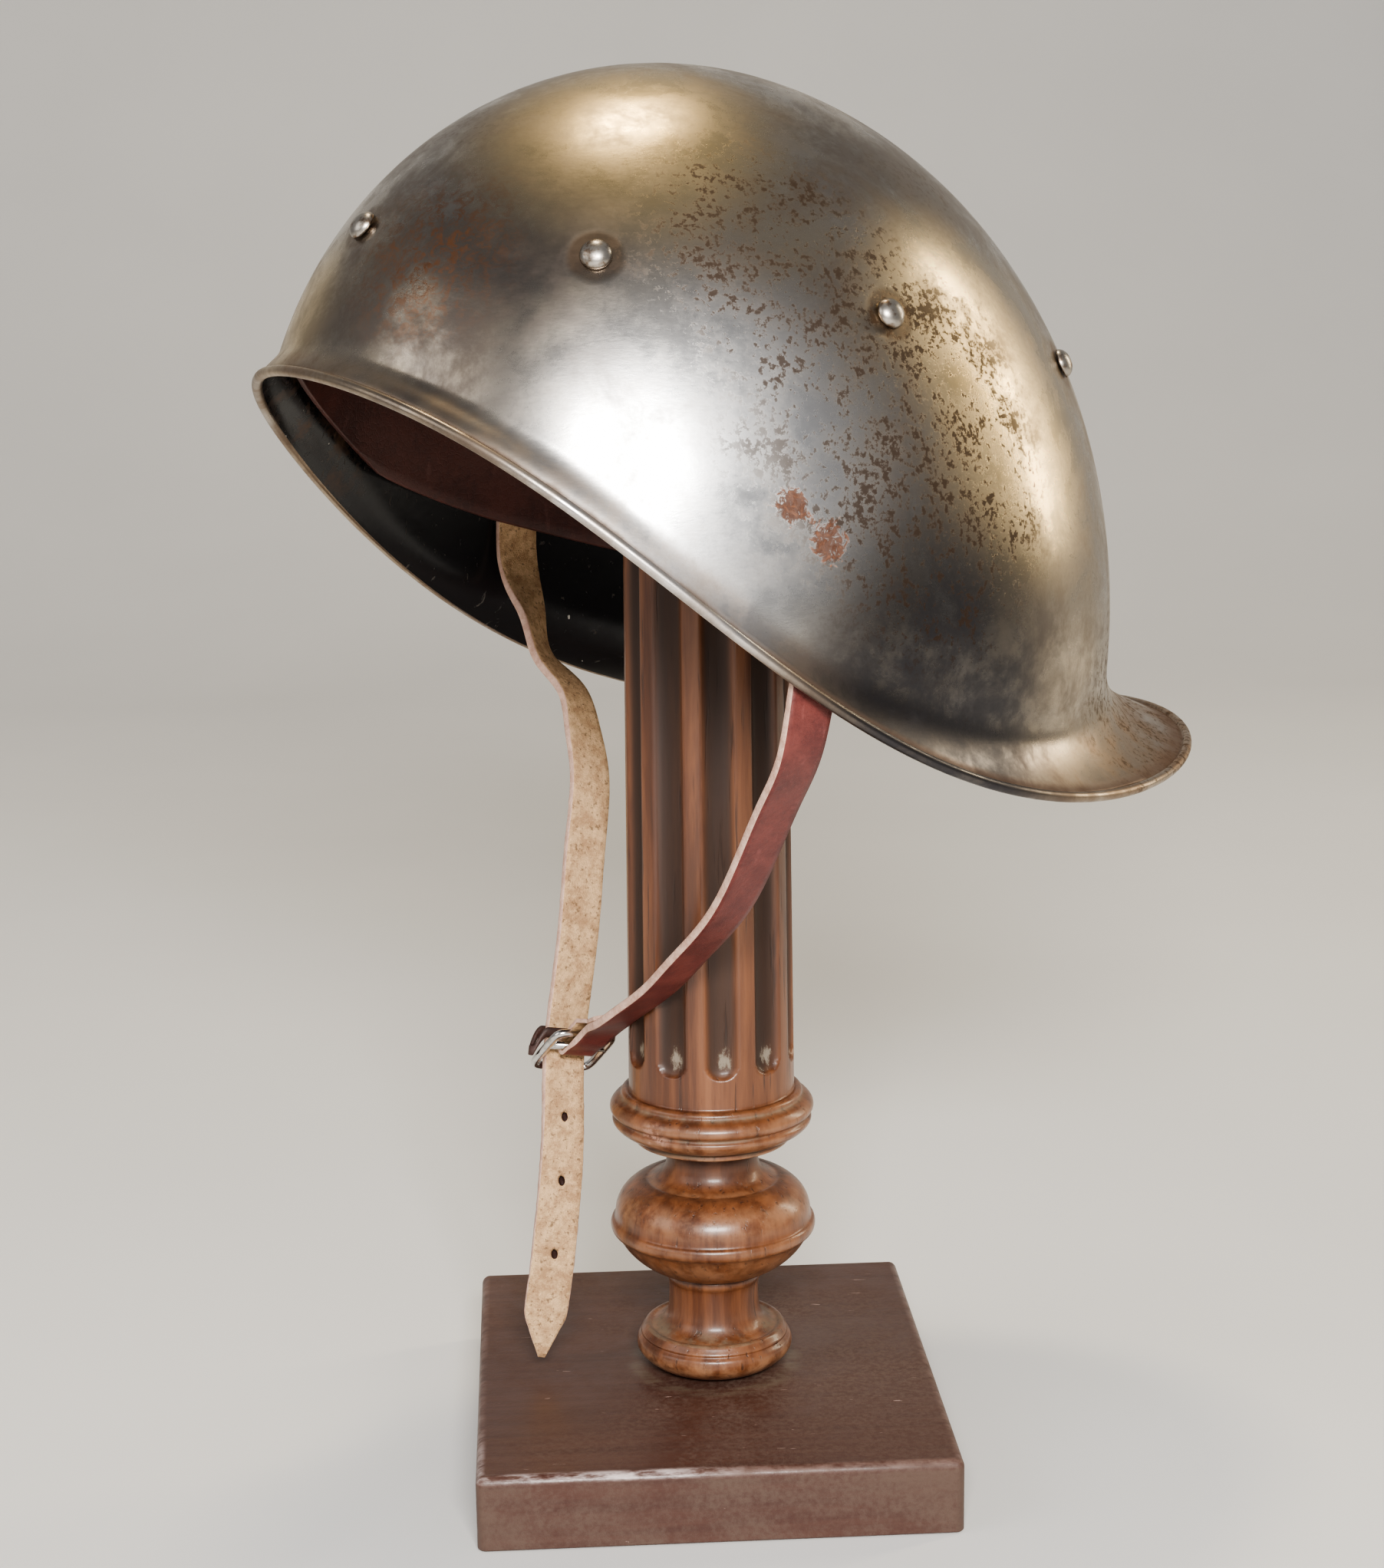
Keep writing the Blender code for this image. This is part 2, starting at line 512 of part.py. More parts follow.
def build_column():
    axis = np.array([*COLUMN_AT, 0.0])
    n = N_FLUTES * 4
    a = np.arange(n) * 2 * pi / n + radians(FLUTE_TURN)
    ring = np.column_stack([np.cos(a), np.sin(a), np.zeros(n)])
    deep = np.array([1.0, 0.0, 0.0, 0.0] * N_FLUTES)[:, None]
    lift = np.array([0, 0, 1.0])
    step = 2 * pi / n
    shift = np.array([0.0, FLUTE_HALF - step, 0.0, step - FLUTE_HALF] * N_FLUTES)
    b = a + shift
    fluted = np.column_stack([np.cos(b), np.sin(b), np.zeros(n)])
    top = column_top()
    rings = [axis + ring * r + lift * (SEAT_Z + z) for r, z in COLUMN]

    def shaft_r(z):
        return SHAFT_FOOT_R + (SHAFT_TOP_R - SHAFT_FOOT_R) * (z - SHAFT_FOOT_Z) / (FLUTE_TOP_Z - SHAFT_FOOT_Z)

    rows = ((SHAFT_FOOT_Z, 0.0), (FLUTE_FOOT_Z - 3.2, 0.0), (FLUTE_FOOT_Z - 1.0, 0.65), (FLUTE_FOOT_Z + 2.0, 1.0),
            (FLUTE_TOP_Z, 1.0), (FLUTE_TOP_Z + 6.0, 0.0))
    for z, d in rows:
        rings.append(axis + fluted * (shaft_r(z) - FLUTE_DEPTH * d * deep) + lift * z)
    r_end = shaft_r(SHAFT_END_Z)
    for k in (1.0, 0.72, 0.4):
        r = r_end * k
        z = top - COLUMN_CAP_R + np.sqrt(COLUMN_CAP_R ** 2 - r * r)
        rings.append(axis + ring * r + lift * z)
    return add("stand_column", rings, False, (0.32, 0.16, 0.08), 0.4)


def column_top():
    """Height of the cap's crown so that it stops just under the inside of the skull."""
    inv = np.linalg.inv(POSE)
    axis = np.array([*COLUMN_AT])
    low = 1e9
    for rr in np.linspace(0, 20, 11):
        for a in np.linspace(0, 2 * pi, 24, endpoint=False):
            x, y = axis + rr * np.array([np.cos(a), np.sin(a)])
            origin = inv @ (np.array([x, y, COLUMN_RAY_Z]) - np.array(HELMET_AT))
            ray = inv @ np.array([0, 0, 1.0])
            hit, where, _, _ = inner_tree().ray_cast(origin, ray)
            z = (placed(np.array(hit)))[2]
            low = min(low, z + COLUMN_CAP_R - np.sqrt(COLUMN_CAP_R ** 2 - rr * rr))
    return low - GAP - 0.1


_TREE = []


def inner_tree():
    """The inside of the bowl, helmet frame, for fitting the column's cap."""
    if not _TREE:
        from mathutils.bvhtree import BVHTree
        rows = [[wall(a, f, SHEET) for a in ROUND] for f in DOME_ROWS]
        verts = [tuple(p) for r in rows for p in r] + [(APEX_X, 0, CROWN_Z - SHEET)]
        faces = []
        for k in range(len(rows) - 1):
            for i in range(N_ROUND):
                j = (i + 1) % N_ROUND
                faces.append((k * N_ROUND + i, k * N_ROUND + j, (k + 1) * N_ROUND + j, (k + 1) * N_ROUND + i))
        faces += [(i, (i + 1) % N_ROUND, len(verts) - 1) for i in range(N_ROUND)]
        _TREE.append(BVHTree.FromPolygons(verts, faces))
    return _TREE[0]


def build_base():
    bm = bmesh.new()
    bmesh.ops.create_cube(bm, size=1.0)
    bmesh.ops.scale(bm, vec=(BASE_W * MM, BASE_D * MM, BASE_H * MM), verts=bm.verts)
    bmesh.ops.translate(bm, vec=(0, 0, BASE_H * MM / 2), verts=bm.verts)
    edges = [e for e in bm.edges if max(v.co.z for v in e.verts) > 0.01]
    bmesh.ops.bevel(bm, geom=edges, offset=BASE_EDGE * MM, segments=3, profile=0.5, affect="EDGES", material=-1)
    ob = finish("stand_base", bm, (0.12, 0.05, 0.04), 0.45)
    for p in ob.data.polygons:
        p.use_smooth = False
    return ob


build_skull()
build_rivets()
build_liner()
build_left_strap()
build_right_strap()
build_buckle()
build_keeper()
build_column()
build_base()
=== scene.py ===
# %% [markdown]
# # A steel skull cap on its wooden stand
# The object is a cervelliere: a beaten steel bowl with a rolled rim, a leather band riveted inside
# and a chin strap with a small wire buckle. It sits on a turned and fluted column on a plain base.
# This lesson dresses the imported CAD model. Every piece is made again as a finer skin in the same
# place, and every surface gets a finish worked out with shader nodes.

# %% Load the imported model
import bpy
import bmesh
import numpy as np
from math import radians, pi
from mathutils import Matrix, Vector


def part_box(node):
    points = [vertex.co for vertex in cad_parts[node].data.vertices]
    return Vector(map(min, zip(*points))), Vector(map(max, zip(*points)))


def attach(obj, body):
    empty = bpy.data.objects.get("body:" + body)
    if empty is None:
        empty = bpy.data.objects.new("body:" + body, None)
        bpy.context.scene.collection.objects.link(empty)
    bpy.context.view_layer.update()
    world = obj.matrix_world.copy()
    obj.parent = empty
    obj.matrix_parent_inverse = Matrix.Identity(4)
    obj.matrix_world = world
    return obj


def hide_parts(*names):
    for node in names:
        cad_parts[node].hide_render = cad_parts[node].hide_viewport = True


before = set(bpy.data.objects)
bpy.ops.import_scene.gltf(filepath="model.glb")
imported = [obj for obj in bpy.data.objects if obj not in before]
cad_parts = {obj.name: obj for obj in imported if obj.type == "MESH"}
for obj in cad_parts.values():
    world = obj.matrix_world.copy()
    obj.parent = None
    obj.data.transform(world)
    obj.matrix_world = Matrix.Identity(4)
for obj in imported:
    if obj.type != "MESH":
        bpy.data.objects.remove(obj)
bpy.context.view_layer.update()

# %% [markdown]
# ## One way to skin a form
# Most pieces here are a row of rings: the bowl, the straps, the column. Blender's grid operator
# gives a flat net with UVs. Each net point is then moved to its ring, and merging doubles closes
# the seam and the poles. That keeps the mesh tidy and gives every piece a UV map that runs round
# it (U) and along it (V).

# %% Rings to skin
MM = 0.001


def unit(v):
    v = np.asarray(v, float)
    return v / np.maximum(np.linalg.norm(v, axis=-1, keepdims=True), 1e-12)


def axes_at(x, y, z, at):
    """The matrix that lays a mesh's own axes along x, y and z and its origin at a place in metres."""
    m = np.eye(4)
    m[:3, 0], m[:3, 1], m[:3, 2], m[:3, 3] = x, y, z, at
    return Matrix(m.tolist())


def along_axis(axis, at):
    """The same for a round thing, where only its long axis matters."""
    u = unit(np.cross(axis, (0.3, 0.5, 0.81)))
    return axes_at(u, np.cross(axis, u), axis, at)


def finish_piece(name, bm, finishes, node_names):
    """Puts the mesh in the scene, in metres, gives it its finishes and lets it ride."""
    me = bpy.data.meshes.new(name)
    bm.to_mesh(me)
    bm.free()
    for p in me.polygons:
        p.use_smooth = True
    ob = bpy.data.objects.new(name, me)
    bpy.context.scene.collection.objects.link(ob)
    for f in finishes:
        me.materials.append(f)
    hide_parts(*node_names)
    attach(ob, "root")
    print(name, len(me.polygons), "faces")
    return ob


def net(rings, round_closed=True, marks=None):
    """A bmesh skinned over rings (mm). marks = {name: value per ring or per point}."""
    rings = np.asarray(rings, float)
    marks = {k: np.asarray(value) for k, value in (marks or {}).items()}
    if round_closed:
        rings = np.concatenate([rings, rings[:, :1]], axis=1)
    m, n = rings.shape[0] - 1, rings.shape[1] - 1
    bm = bmesh.new()
    bm.loops.layers.uv.new("UVMap")
    bmesh.ops.create_grid(bm, x_segments=n, y_segments=m, size=0.5, calc_uvs=True)
    layers = {k: bm.verts.layers.float.new(k) for k in marks}
    across = bm.faces.layers.int.new("across")
    along = bm.faces.layers.int.new("along")
    for f in bm.faces:
        c = f.calc_center_median()
        f[across], f[along] = int((c.x + 0.5) * n), int((c.y + 0.5) * m)
    for v in bm.verts:
        i, j = round((v.co.x + 0.5) * n), round((v.co.y + 0.5) * m)
        v.co = rings[j, i] * MM
        for k, layer in layers.items():
            value = marks[k]
            v[layer] = float(value[j] if value.ndim == 1 else value[j, i % value.shape[1]])
    return bm


def close(bm):
    bmesh.ops.remove_doubles(bm, verts=bm.verts, dist=2e-6)
    bmesh.ops.dissolve_degenerate(bm, edges=bm.edges, dist=1e-7)
    bmesh.ops.recalc_face_normals(bm, faces=bm.faces)
    return bm


# %% [markdown]
# ## Shader sums as Python
# A finish is easier to read when its maths is written as sums. Value wraps one socket and turns
# +, -, * and / into Math nodes. Finish makes a material and has one method, node, for every other
# kind of node.

# %% Value and Finish
class Value:
    def __init__(self, finish, socket):
        self.finish, self.socket = finish, socket

    def __add__(self, other):
        return self.finish.sum("ADD", self, other)

    def __sub__(self, other):
        return self.finish.sum("SUBTRACT", self, other)

    def __rsub__(self, other):
        return self.finish.sum("SUBTRACT", other, self)

    def __mul__(self, other):
        return self.finish.sum("MULTIPLY", self, other)

    def __truediv__(self, other):
        return self.finish.sum("DIVIDE", self, other)

    __radd__, __rmul__ = __add__, __mul__


class Finish:
    def __init__(self, name, **constants):
        self.material = bpy.data.materials.new(name)
        self.material.use_nodes = True
        self.tree = self.material.node_tree
        self.shader = self.tree.nodes["Principled BSDF"]
        for socket, value in constants.items():
            self.shader.inputs[socket.replace("_", " ")].default_value = value

    def put(self, socket, value):
        if isinstance(value, Value):
            self.tree.links.new(value.socket, socket)
        elif value is not None:
            socket.default_value = value

    def node(self, kind, settings=None, sockets=None, out=0):
        n = self.tree.nodes.new("ShaderNode" + kind)
        for k, v in (settings or {}).items():
            if k == "stops":
                ramp = n.color_ramp.elements
                while len(ramp) < len(v):
                    ramp.new(0.5)
                for e, (at, rgb) in zip(ramp, v):
                    e.position, e.color = at, (*rgb, 1)
            else:
                setattr(n, k, v)
        for k, v in (sockets or {}).items():
            self.put(n.inputs[k], v)
        return Value(self, n.outputs[out])

    def sum(self, operation, a, b):
        return self.node("Math", {"operation": operation}, {0: a, 1: b})

    def mix(self, share, a, b):
        a, b = ((*c, 1) if isinstance(c, tuple) and len(c) == 3 else c for c in (a, b))
        return self.node("Mix", {"data_type": "RGBA"}, {0: share, 6: a, 7: b}, out=2)

    def place(self, scale=(1, 1, 1), turned=(0, 0, 0)):
        where = self.node("TexCoord", out=3)
        return self.node("Mapping", {}, {"Vector": where, "Scale": scale, "Rotation": turned})

    def noise(self, where, scale, detail=3.0, rough=0.55, twist=0.0):
        return self.node("TexNoise", {}, {"Vector": where, "Scale": scale, "Detail": detail,
                                          "Roughness": rough, "Distortion": twist})

    def step(self, value, low, high, to_low=0.0, to_high=1.0):
        """A smooth step between two levels, clamped."""
        return self.node("MapRange", {"interpolation_type": "SMOOTHSTEP"},
                         {"Value": value, "From Min": low, "From Max": high,
                          "To Min": to_low, "To Max": to_high})

    def distance(self, where, spot_mm):
        return self.node("VectorMath", {"operation": "DISTANCE"},
                         {0: where, 1: tuple(c * MM for c in spot_mm)}, out=1)

    def near(self, where, spot_mm, inner_mm, outer_mm):
        """1 within inner_mm of a spot, falling to 0 at outer_mm."""
        return self.step(self.distance(where, spot_mm), inner_mm * MM, outer_mm * MM, 1.0, 0.0)

    def mark(self, name):
        return self.node("Attribute", {"attribute_name": name}, out=2)

    def bump(self, height, strength, distance_mm, under=None):
        return self.node("Bump", {}, {"Strength": strength, "Distance": distance_mm * MM,
                                      "Height": height, "Normal": under})

    def done(self, **links):
        for socket, value in links.items():
            self.put(self.shader.inputs[socket.replace("_", " ")], value)
        return self.material


# %% [markdown]
# ## The camera
# The photograph was taken from about three quarters of a metre away, a little lower than the
# bowl's crown, looking down by some twelve degrees. The camera's place and lens were worked out
# from the corners of the base and the rings of the column.

# %% Camera
CAMERA_AT = np.array([-44.6, -746.8, 351.4])
CAMERA_LOOK = unit([0.0565, 0.9762, -0.2095])
CAMERA_ROLL = -0.0130419
SENSOR_MM, FOCAL_PX, PHOTO_H_PX = 36.0, 3606.48, 2044
level = unit(np.cross(CAMERA_LOOK, (0, 0, 1)))
over = np.cross(level, CAMERA_LOOK)
right = np.cos(CAMERA_ROLL) * level + np.sin(CAMERA_ROLL) * over
top = np.cross(right, CAMERA_LOOK)
lens = bpy.data.cameras.new("camera")
lens.sensor_width, lens.lens = SENSOR_MM, SENSOR_MM * FOCAL_PX / PHOTO_H_PX
lens.clip_start, lens.clip_end = 0.05, 50
camera = bpy.data.objects.new("camera", lens)
camera.matrix_world = axes_at(right, top, -CAMERA_LOOK, CAMERA_AT * MM)
bpy.context.scene.collection.objects.link(camera)
bpy.context.scene.camera = camera
print("lens", round(lens.lens, 2), "mm")

# %% [markdown]
# ## The bowl's shape
# A smith raises the bowl from one sheet. It is longer behind than in front. Two half ellipsoids
# give that, and their widest level sinks towards the nape. Below it the wall sweeps outward to a
# rim that is rolled over itself. The numbers are the same as in the solid model. A row such as
# RIM_Z holds a mean and the shares of the cosines round the bowl; RIM_Y holds sines.

# %% Numbers of the helmet
HELMET_YAW, HELMET_TILT, HELMET_AT = 27.2, 12.4, (2.1, -0.1, 322.6)
SHEET, ROLL_R = 1.2, 1.4
HALF_FRONT, HALF_REAR, HALF_WIDTH, CROWN_Z, APEX_X = 106.3, 143.0, 100.0, 59.8, -2.8
WIDEST_Z = {"brow": -46.3, "side": -76.6, "nape": -102.0}
RIM_X = (16.7, 140.2, 14.8, 2.8)
RIM_Y = (106.0, 3.4, 2.8)
RIM_Z = (-80.4, -31.2, 16.9, 5.9)
FLARE_RISE = (15.5, 7.0, -0.5)
RIM_DROOP = (55.0, -36.0, -7.0)
RIVET_BEARINGS = (0.0, 46.0, 93.6, 137.0, 180.0)
RIVET_PLACES = [(b, side) for b in RIVET_BEARINGS for side in ((1,) if b in (0.0, 180.0) else (1, -1))]
yaw, tilt = radians(HELMET_YAW), radians(HELMET_TILT)
POSE = (np.array([[np.cos(yaw), -np.sin(yaw), 0], [np.sin(yaw), np.cos(yaw), 0], [0, 0, 1]])
        @ np.array([[np.cos(tilt), 0, np.sin(tilt)], [0, 1, 0], [-np.sin(tilt), 0, np.cos(tilt)]]))


def placed(p):
    return np.asarray(p) @ POSE.T + np.array(HELMET_AT)


def terms(row, phi):
    return sum(a * np.cos(i * phi) for i, a in enumerate(row))


def widest_z(phi):
    """Level of the bowl's widest place at a bearing."""
    k = np.cos(phi)
    end = np.where(k > 0, WIDEST_Z["nape"], WIDEST_Z["brow"])
    return WIDEST_Z["side"] + (end - WIDEST_Z["side"]) * k * k


def dome(phi, t):
    """Outer face of the bowl. phi is the bearing from the nape, t runs down from the crown."""
    k, low = np.cos(phi), widest_z(phi)
    half = np.where(k > 0, HALF_REAR, HALF_FRONT)
    return np.stack([APEX_X + half * k * np.sin(t), HALF_WIDTH * np.sin(phi) * np.sin(t),
                     low + (CROWN_Z - low) * np.cos(t)], -1)


def dome_t(phi, z):
    """The t at which the bowl reaches a level."""
    low = widest_z(phi)
    return np.arccos(np.clip((z - low) / (CROWN_Z - low), -1, 1))


def rim(phi):
    return np.stack([terms(RIM_X, phi), sum(a * np.sin((i + 1) * phi) for i, a in enumerate(RIM_Y)),
                     terms(RIM_Z, phi)], -1)


def rim_frame(phi):
    """Centre of the roll, the wall's direction there and its outward normal."""
    run = unit(rim(phi + 1e-4) - rim(phi - 1e-4))
    out = unit(np.stack([run[:, 1], -run[:, 0], 0 * phi], -1))
    b = np.radians(terms(RIM_DROOP, phi))[:, None]
    down = np.cos(b) * out - np.sin(b) * np.array([0, 0, 1.0])
    down = unit(down - (down * run).sum(1)[:, None] * run)
    normal = unit(np.cross(down, run))
    flip = np.sign((normal * (out + np.array([0, 0, 0.3]))).sum(1))[:, None]
    return rim(phi), down, normal * flip


def outer(phi, u):
    """u 0..1 runs down the bowl, 1..2 down the sweep to the roll."""
    t1 = dome_t(phi, terms(RIM_Z, phi) + terms(FLARE_RISE, phi))
    if u <= 1:
        return dome(phi, u * t1)
    a = dome(phi, t1)
    da = unit(dome(phi, t1 + 1e-4) - dome(phi, t1 - 1e-4))
    centre, down, normal = rim_frame(phi)
    b = centre - normal * (ROLL_R - SHEET)
    reach = np.linalg.norm(b - a, axis=1)[:, None] * 0.42
    s = u - 1.0
    return ((1 - s) ** 3 * a + 3 * (1 - s) ** 2 * s * (a + da * reach)
            + 3 * (1 - s) * s * s * (b - down * reach) + s ** 3 * b)


def wall(phi, u, inward):
    """A place inward of the outer face by so many mm."""
    du = outer(phi, min(u + 1e-3, 2.0)) - outer(phi, u - 1e-3)
    dp = outer(phi + 1e-3, u) - outer(phi - 1e-3, u)
    return outer(phi, u) - unit(np.cross(du, dp)) * inward


def at_level(phi, z, inward):
    """The wall at a level z, one bearing or many."""
    phi = np.atleast_1d(np.asarray(phi, float))
    t1 = dome_t(phi, terms(RIM_Z, phi) + terms(FLARE_RISE, phi))
    u = np.broadcast_to(dome_t(phi, z) / t1, phi.shape)
    inward = np.broadcast_to(inward, phi.shape)
    return np.array([wall(np.array([p]), float(s), d)[0] for p, s, d in zip(phi, u, inward)])


def rivet_site(bearing, side):
    """Where a rivet stands on the outer face, and its axis, in the stand's frame."""
    phi = pi - radians(bearing) * side
    p, q = at_level(phi, 0.0, 0.0)[0], at_level(phi, 0.0, 1.0)[0]
    return placed(p), unit(POSE @ (p - q))


SITES = [rivet_site(b, side) for b, side in RIVET_PLACES]
print("rivets:", len(SITES))

# %% [markdown]
# ## The finish of the steel
# The bowl was polished long ago. Between the bright places the steel has turned brown and smoky,
# fine dark pits lie in drifts, and two brown rust spots have eaten in. Gold patches at the crown and
# down the sides are painted warm reflections, and a near-white patch low in front is a painted
# highlight. Each mark is a place on the bowl (near) broken up by noise (step). Colour, roughness and
# metalness follow the same masks, as rust is rough and no longer a metal's mirror.

# %% Steel
def make_steel():
    f = Finish("polished_steel", Metallic=1.0)
    at = f.place()
    broad = f.noise(at, 16, 4, 0.6, 0.4)
    mottle = f.noise(at, 52, 8, 0.70, 0.25)
    grain = f.noise(f.place((1, 1, 3)), 420, 5, 0.7)
    ragged = f.noise(at, 330, 6, 0.75, 1.0)
    colour = f.mix(f.step(broad, 0.35, 0.68), (0.45, 0.385, 0.300), (0.47, 0.445, 0.415))
    stain = f.step(mottle * 0.7 + broad * 0.45, 0.47, 0.66)
    colour = f.mix(stain * 0.66, colour, (0.125, 0.094, 0.072))
    # painted reflection: warm gold patches at the crown, down the right side and at the left brow stand in
    # for reflections of warm lamps
    gold_reflection_spots = (f.near(at, (-20, -58, 368), 12, 58) + f.near(at, (80, -56, 282), 8, 52) * 0.8
            + f.near(at, (58, -54, 322), 8, 44) * 0.7 + f.near(at, (-100, -36, 322), 4, 34) * 0.8)
    gold_reflection_mask = f.step(gold_reflection_spots, 0.05, 1.0) * f.step(mottle, 0.3, 0.62, 1.0, 0.45)
    colour = f.mix(gold_reflection_mask * 0.85, colour, (0.80, 0.60, 0.29))
    # painted highlight: a near-white patch low in front widens and whitens the key light's reflection
    light = f.near(at, (-6, -104, 284), 20, 64) * f.step(mottle, 0.38, 0.62, 1.0, 0.55)
    colour = f.mix(light * 0.92, colour, (0.93, 0.93, 0.93))
    down = f.mark("down")
    nape = f.near(at, (128, 10, 196), 30, 74)
    # the sweep above the roll is painted brown, most at the nape: partly tarnish, partly a painted dark
    # reddish reflection
    flange = f.step(down, 1.12, 1.5) * f.step(mottle + ragged * 0.35, 0.5, 0.8, 0.55, 1.0)
    colour = f.mix(flange * (nape * 0.35 + 0.5), colour, (0.24, 0.155, 0.095))
    dark = f.near(at, (58, -84, 226), 22, 66) * f.step(mottle, 0.28, 0.56, 0.82, 1.0)
    colour = f.mix(dark * 0.93, colour, (0.050, 0.051, 0.060))
    smoke = f.near(at, (-54, -84, 318), 14, 66) * f.step(broad + mottle * 0.4, 0.5, 0.78)
    colour = f.mix(smoke * 0.7, colour, (0.10, 0.085, 0.078))
    tint = f.near(at, (-66, -68, 338), 4, 32) * f.step(ragged, 0.44, 0.62)
    colour = f.mix(tint * 0.85, colour, (0.30, 0.140, 0.070))
    drift = (f.near(at, (46, -80, 292), 16, 72) * 0.8 + f.near(at, (12, -76, 340), 10, 50) * 0.9
             + f.near(at, (60, -74, 262), 8, 46) * 0.5 + nape * 0.6)
    drift = drift + f.step(broad, 0.50, 0.72) * 0.35
    pits = f.step(f.noise(at, 520, 6, 0.74, 0.2) * 0.68 + mottle * 0.36, 0.535, 0.575)
    pits = pits * f.step(drift, 0.08, 0.75)
    colour = f.mix(pits * 0.88, colour, (0.058, 0.036, 0.024))
    spots = f.near(at, (17.1, -100.5, 278.9), 2.0, 8.5) + f.near(at, (26.2, -98.1, 270.1), 2.6, 9.5)
    rust = f.step(spots * 0.42 + ragged, 0.77, 0.88)
    rusty = f.mix(f.step(ragged, 0.5, 0.7), (0.085, 0.032, 0.016), (0.24, 0.092, 0.040))
    colour = f.mix(rust * 0.95, colour, rusty)
    ring = sum(f.near(at, site, 4.2, 9.0) for site, _ in SITES)
    ring = f.step(ring * (mottle + 0.5), 0.1, 0.8)
    colour = f.mix(ring * 0.5, colour, (0.135, 0.080, 0.042))
    # painted shade: the crease just above the roll is painted dark brown, grime with the groove's shade
    # painted in
    crease_grime_and_shade = f.step(down, 1.78, 1.92) * f.step(down, 2.0, 2.08, 1.0, 0.0)
    colour = f.mix(crease_grime_and_shade * 0.85, colour, (0.070, 0.036, 0.020))
    dull = f.step(pits + rust + crease_grime_and_shade * 0.6, 0.0, 1.0)
    rough = (0.20 + f.step(mottle, 0.35, 0.75) * 0.14 + grain * 0.06 + stain * 0.08 + flange * 0.08
             + dull * 0.3)
    skin = f.bump(f.noise(at, 9, 2, 0.5), 0.35, 3.0)
    skin = f.bump(f.noise(at, 34, 2, 0.5), 0.16, 1.0, skin)
    skin = f.bump(ring, 0.25, -0.5, skin)
    skin = f.bump(grain + pits * -0.6 + rust * 1.0, 0.2, 0.1, skin)
    metallic = 1.0 - f.step(rust + crease_grime_and_shade * 0.6, 0.0, 1.0) * 0.75
    return f.done(Base_Color=colour, Metallic=metallic, Roughness=rough, Normal=skin)


def make_inside():
    f = Finish("black_paint_inside", IOR=1.5)
    at = f.place()
    scratch = f.step(f.noise(f.place((1, 5, 1), (0.3, 0.2, 0.9)), 190, 4, 0.7, 0.6), 0.64, 0.70)
    smear = f.near(at, (-86, 30, 300), 10, 52) * f.step(f.noise(at, 60, 6, 0.7), 0.45, 0.62)
    colour = f.mix(scratch * 0.5, (0.010, 0.010, 0.011), (0.11, 0.085, 0.06))
    colour = f.mix(smear * 0.8, colour, (0.15, 0.075, 0.035))
    fleck = f.step(f.noise(at, 260, 2, 0.5), 0.755, 0.775)
    colour = f.mix(fleck, colour, (0.5, 0.47, 0.42))
    skin = f.bump(f.noise(at, 90, 3, 0.6) + scratch * -0.5, 0.3, 0.3)
    return f.done(Base_Color=colour, Roughness=0.26 + scratch * 0.3 + smear * 0.35, Normal=skin)


STEEL, INSIDE = make_steel(), make_inside()
print("steel nodes:", len(STEEL.node_tree.nodes))

# %% [markdown]
# ## Skinning the bowl
# Rings run from the crown down the outside, round the roll and back up the inside, so the sheet has
# its real thickness. The mark "down" tells the finish how far down the wall a place lies: 1 where
# the sweep starts, 2 at the roll, more on the roll and inside. So the dark brown band in the crease
# above the roll, grime with painted shade, follows the rim.

# %% Bowl
BOWL_ROUND, ROLL_FROM, ROLL_TO, INSIDE_MARK = 200, 165, -90, 3.2


def make_bowl():
    around = np.arange(BOWL_ROUND) * 2 * pi / BOWL_ROUND
    centre, down, normal = rim_frame(around)
    rings, marks = [np.tile((APEX_X, 0, CROWN_Z), (BOWL_ROUND, 1))], [0.0]
    outside = list(np.linspace(0.02, 1, 64)) + list(np.linspace(1, 2, 26)[1:-1])
    for u in outside:
        rings.append(outer(around, u))
        marks.append(u)
    back = np.sqrt(ROLL_R ** 2 - (ROLL_R - SHEET) ** 2)
    rings.append(centre - normal * (ROLL_R - SHEET) - down * back)
    marks.append(2.0)
    for ang in np.linspace(ROLL_FROM, ROLL_TO, 15):
        rings.append(centre + ROLL_R * (np.cos(radians(ang)) * down + np.sin(radians(ang)) * normal))
        marks.append(2.1 + (ROLL_FROM - ang) / (ROLL_FROM - ROLL_TO))
    first_inside = len(rings) - 1
    for u in outside[::-1][1:]:
        rings.append(wall(around, u, SHEET))
        marks.append(INSIDE_MARK)
    rings.append(np.tile((APEX_X, 0, CROWN_Z - SHEET), (BOWL_ROUND, 1)))
    marks.append(INSIDE_MARK)
    bm = net([placed(r) for r in rings], marks={"down": marks})
    along = bm.faces.layers.int["along"]
    for face in bm.faces:
        face.material_index = 1 if face[along] >= first_inside else 0
    ob = finish_piece("bowl", close(bm), (STEEL, INSIDE), ("skull",))


make_bowl()

# %% [markdown]
# ## Rivets
# Each rivet has a domed head outside, a shank through the sheet and the leather, and a washer
# inside. A lathe shape is made with the spin operator: half an outline turned once round. How long
# the shank is depends on the leather band, so the band's depth is worked out here.

# %% Rivets
GAP, STRAP_BEARING, STRAP_REACH = 0.3, 180.0 - RIVET_BEARINGS[2], 12.0
HEAD_R, HEAD_H, SHANK_R, WASHER_R, WASHER_T = 3.95, 2.75, 1.7, 3.2, 1.1
LINER_T, LINER_TOP_Z, LINER_EDGE = 1.8, 11.0, (-62.4, -17.2, 5.2, -1.5)
LINER_OFF, LINER_STANDOFF = 1.0, 3.3


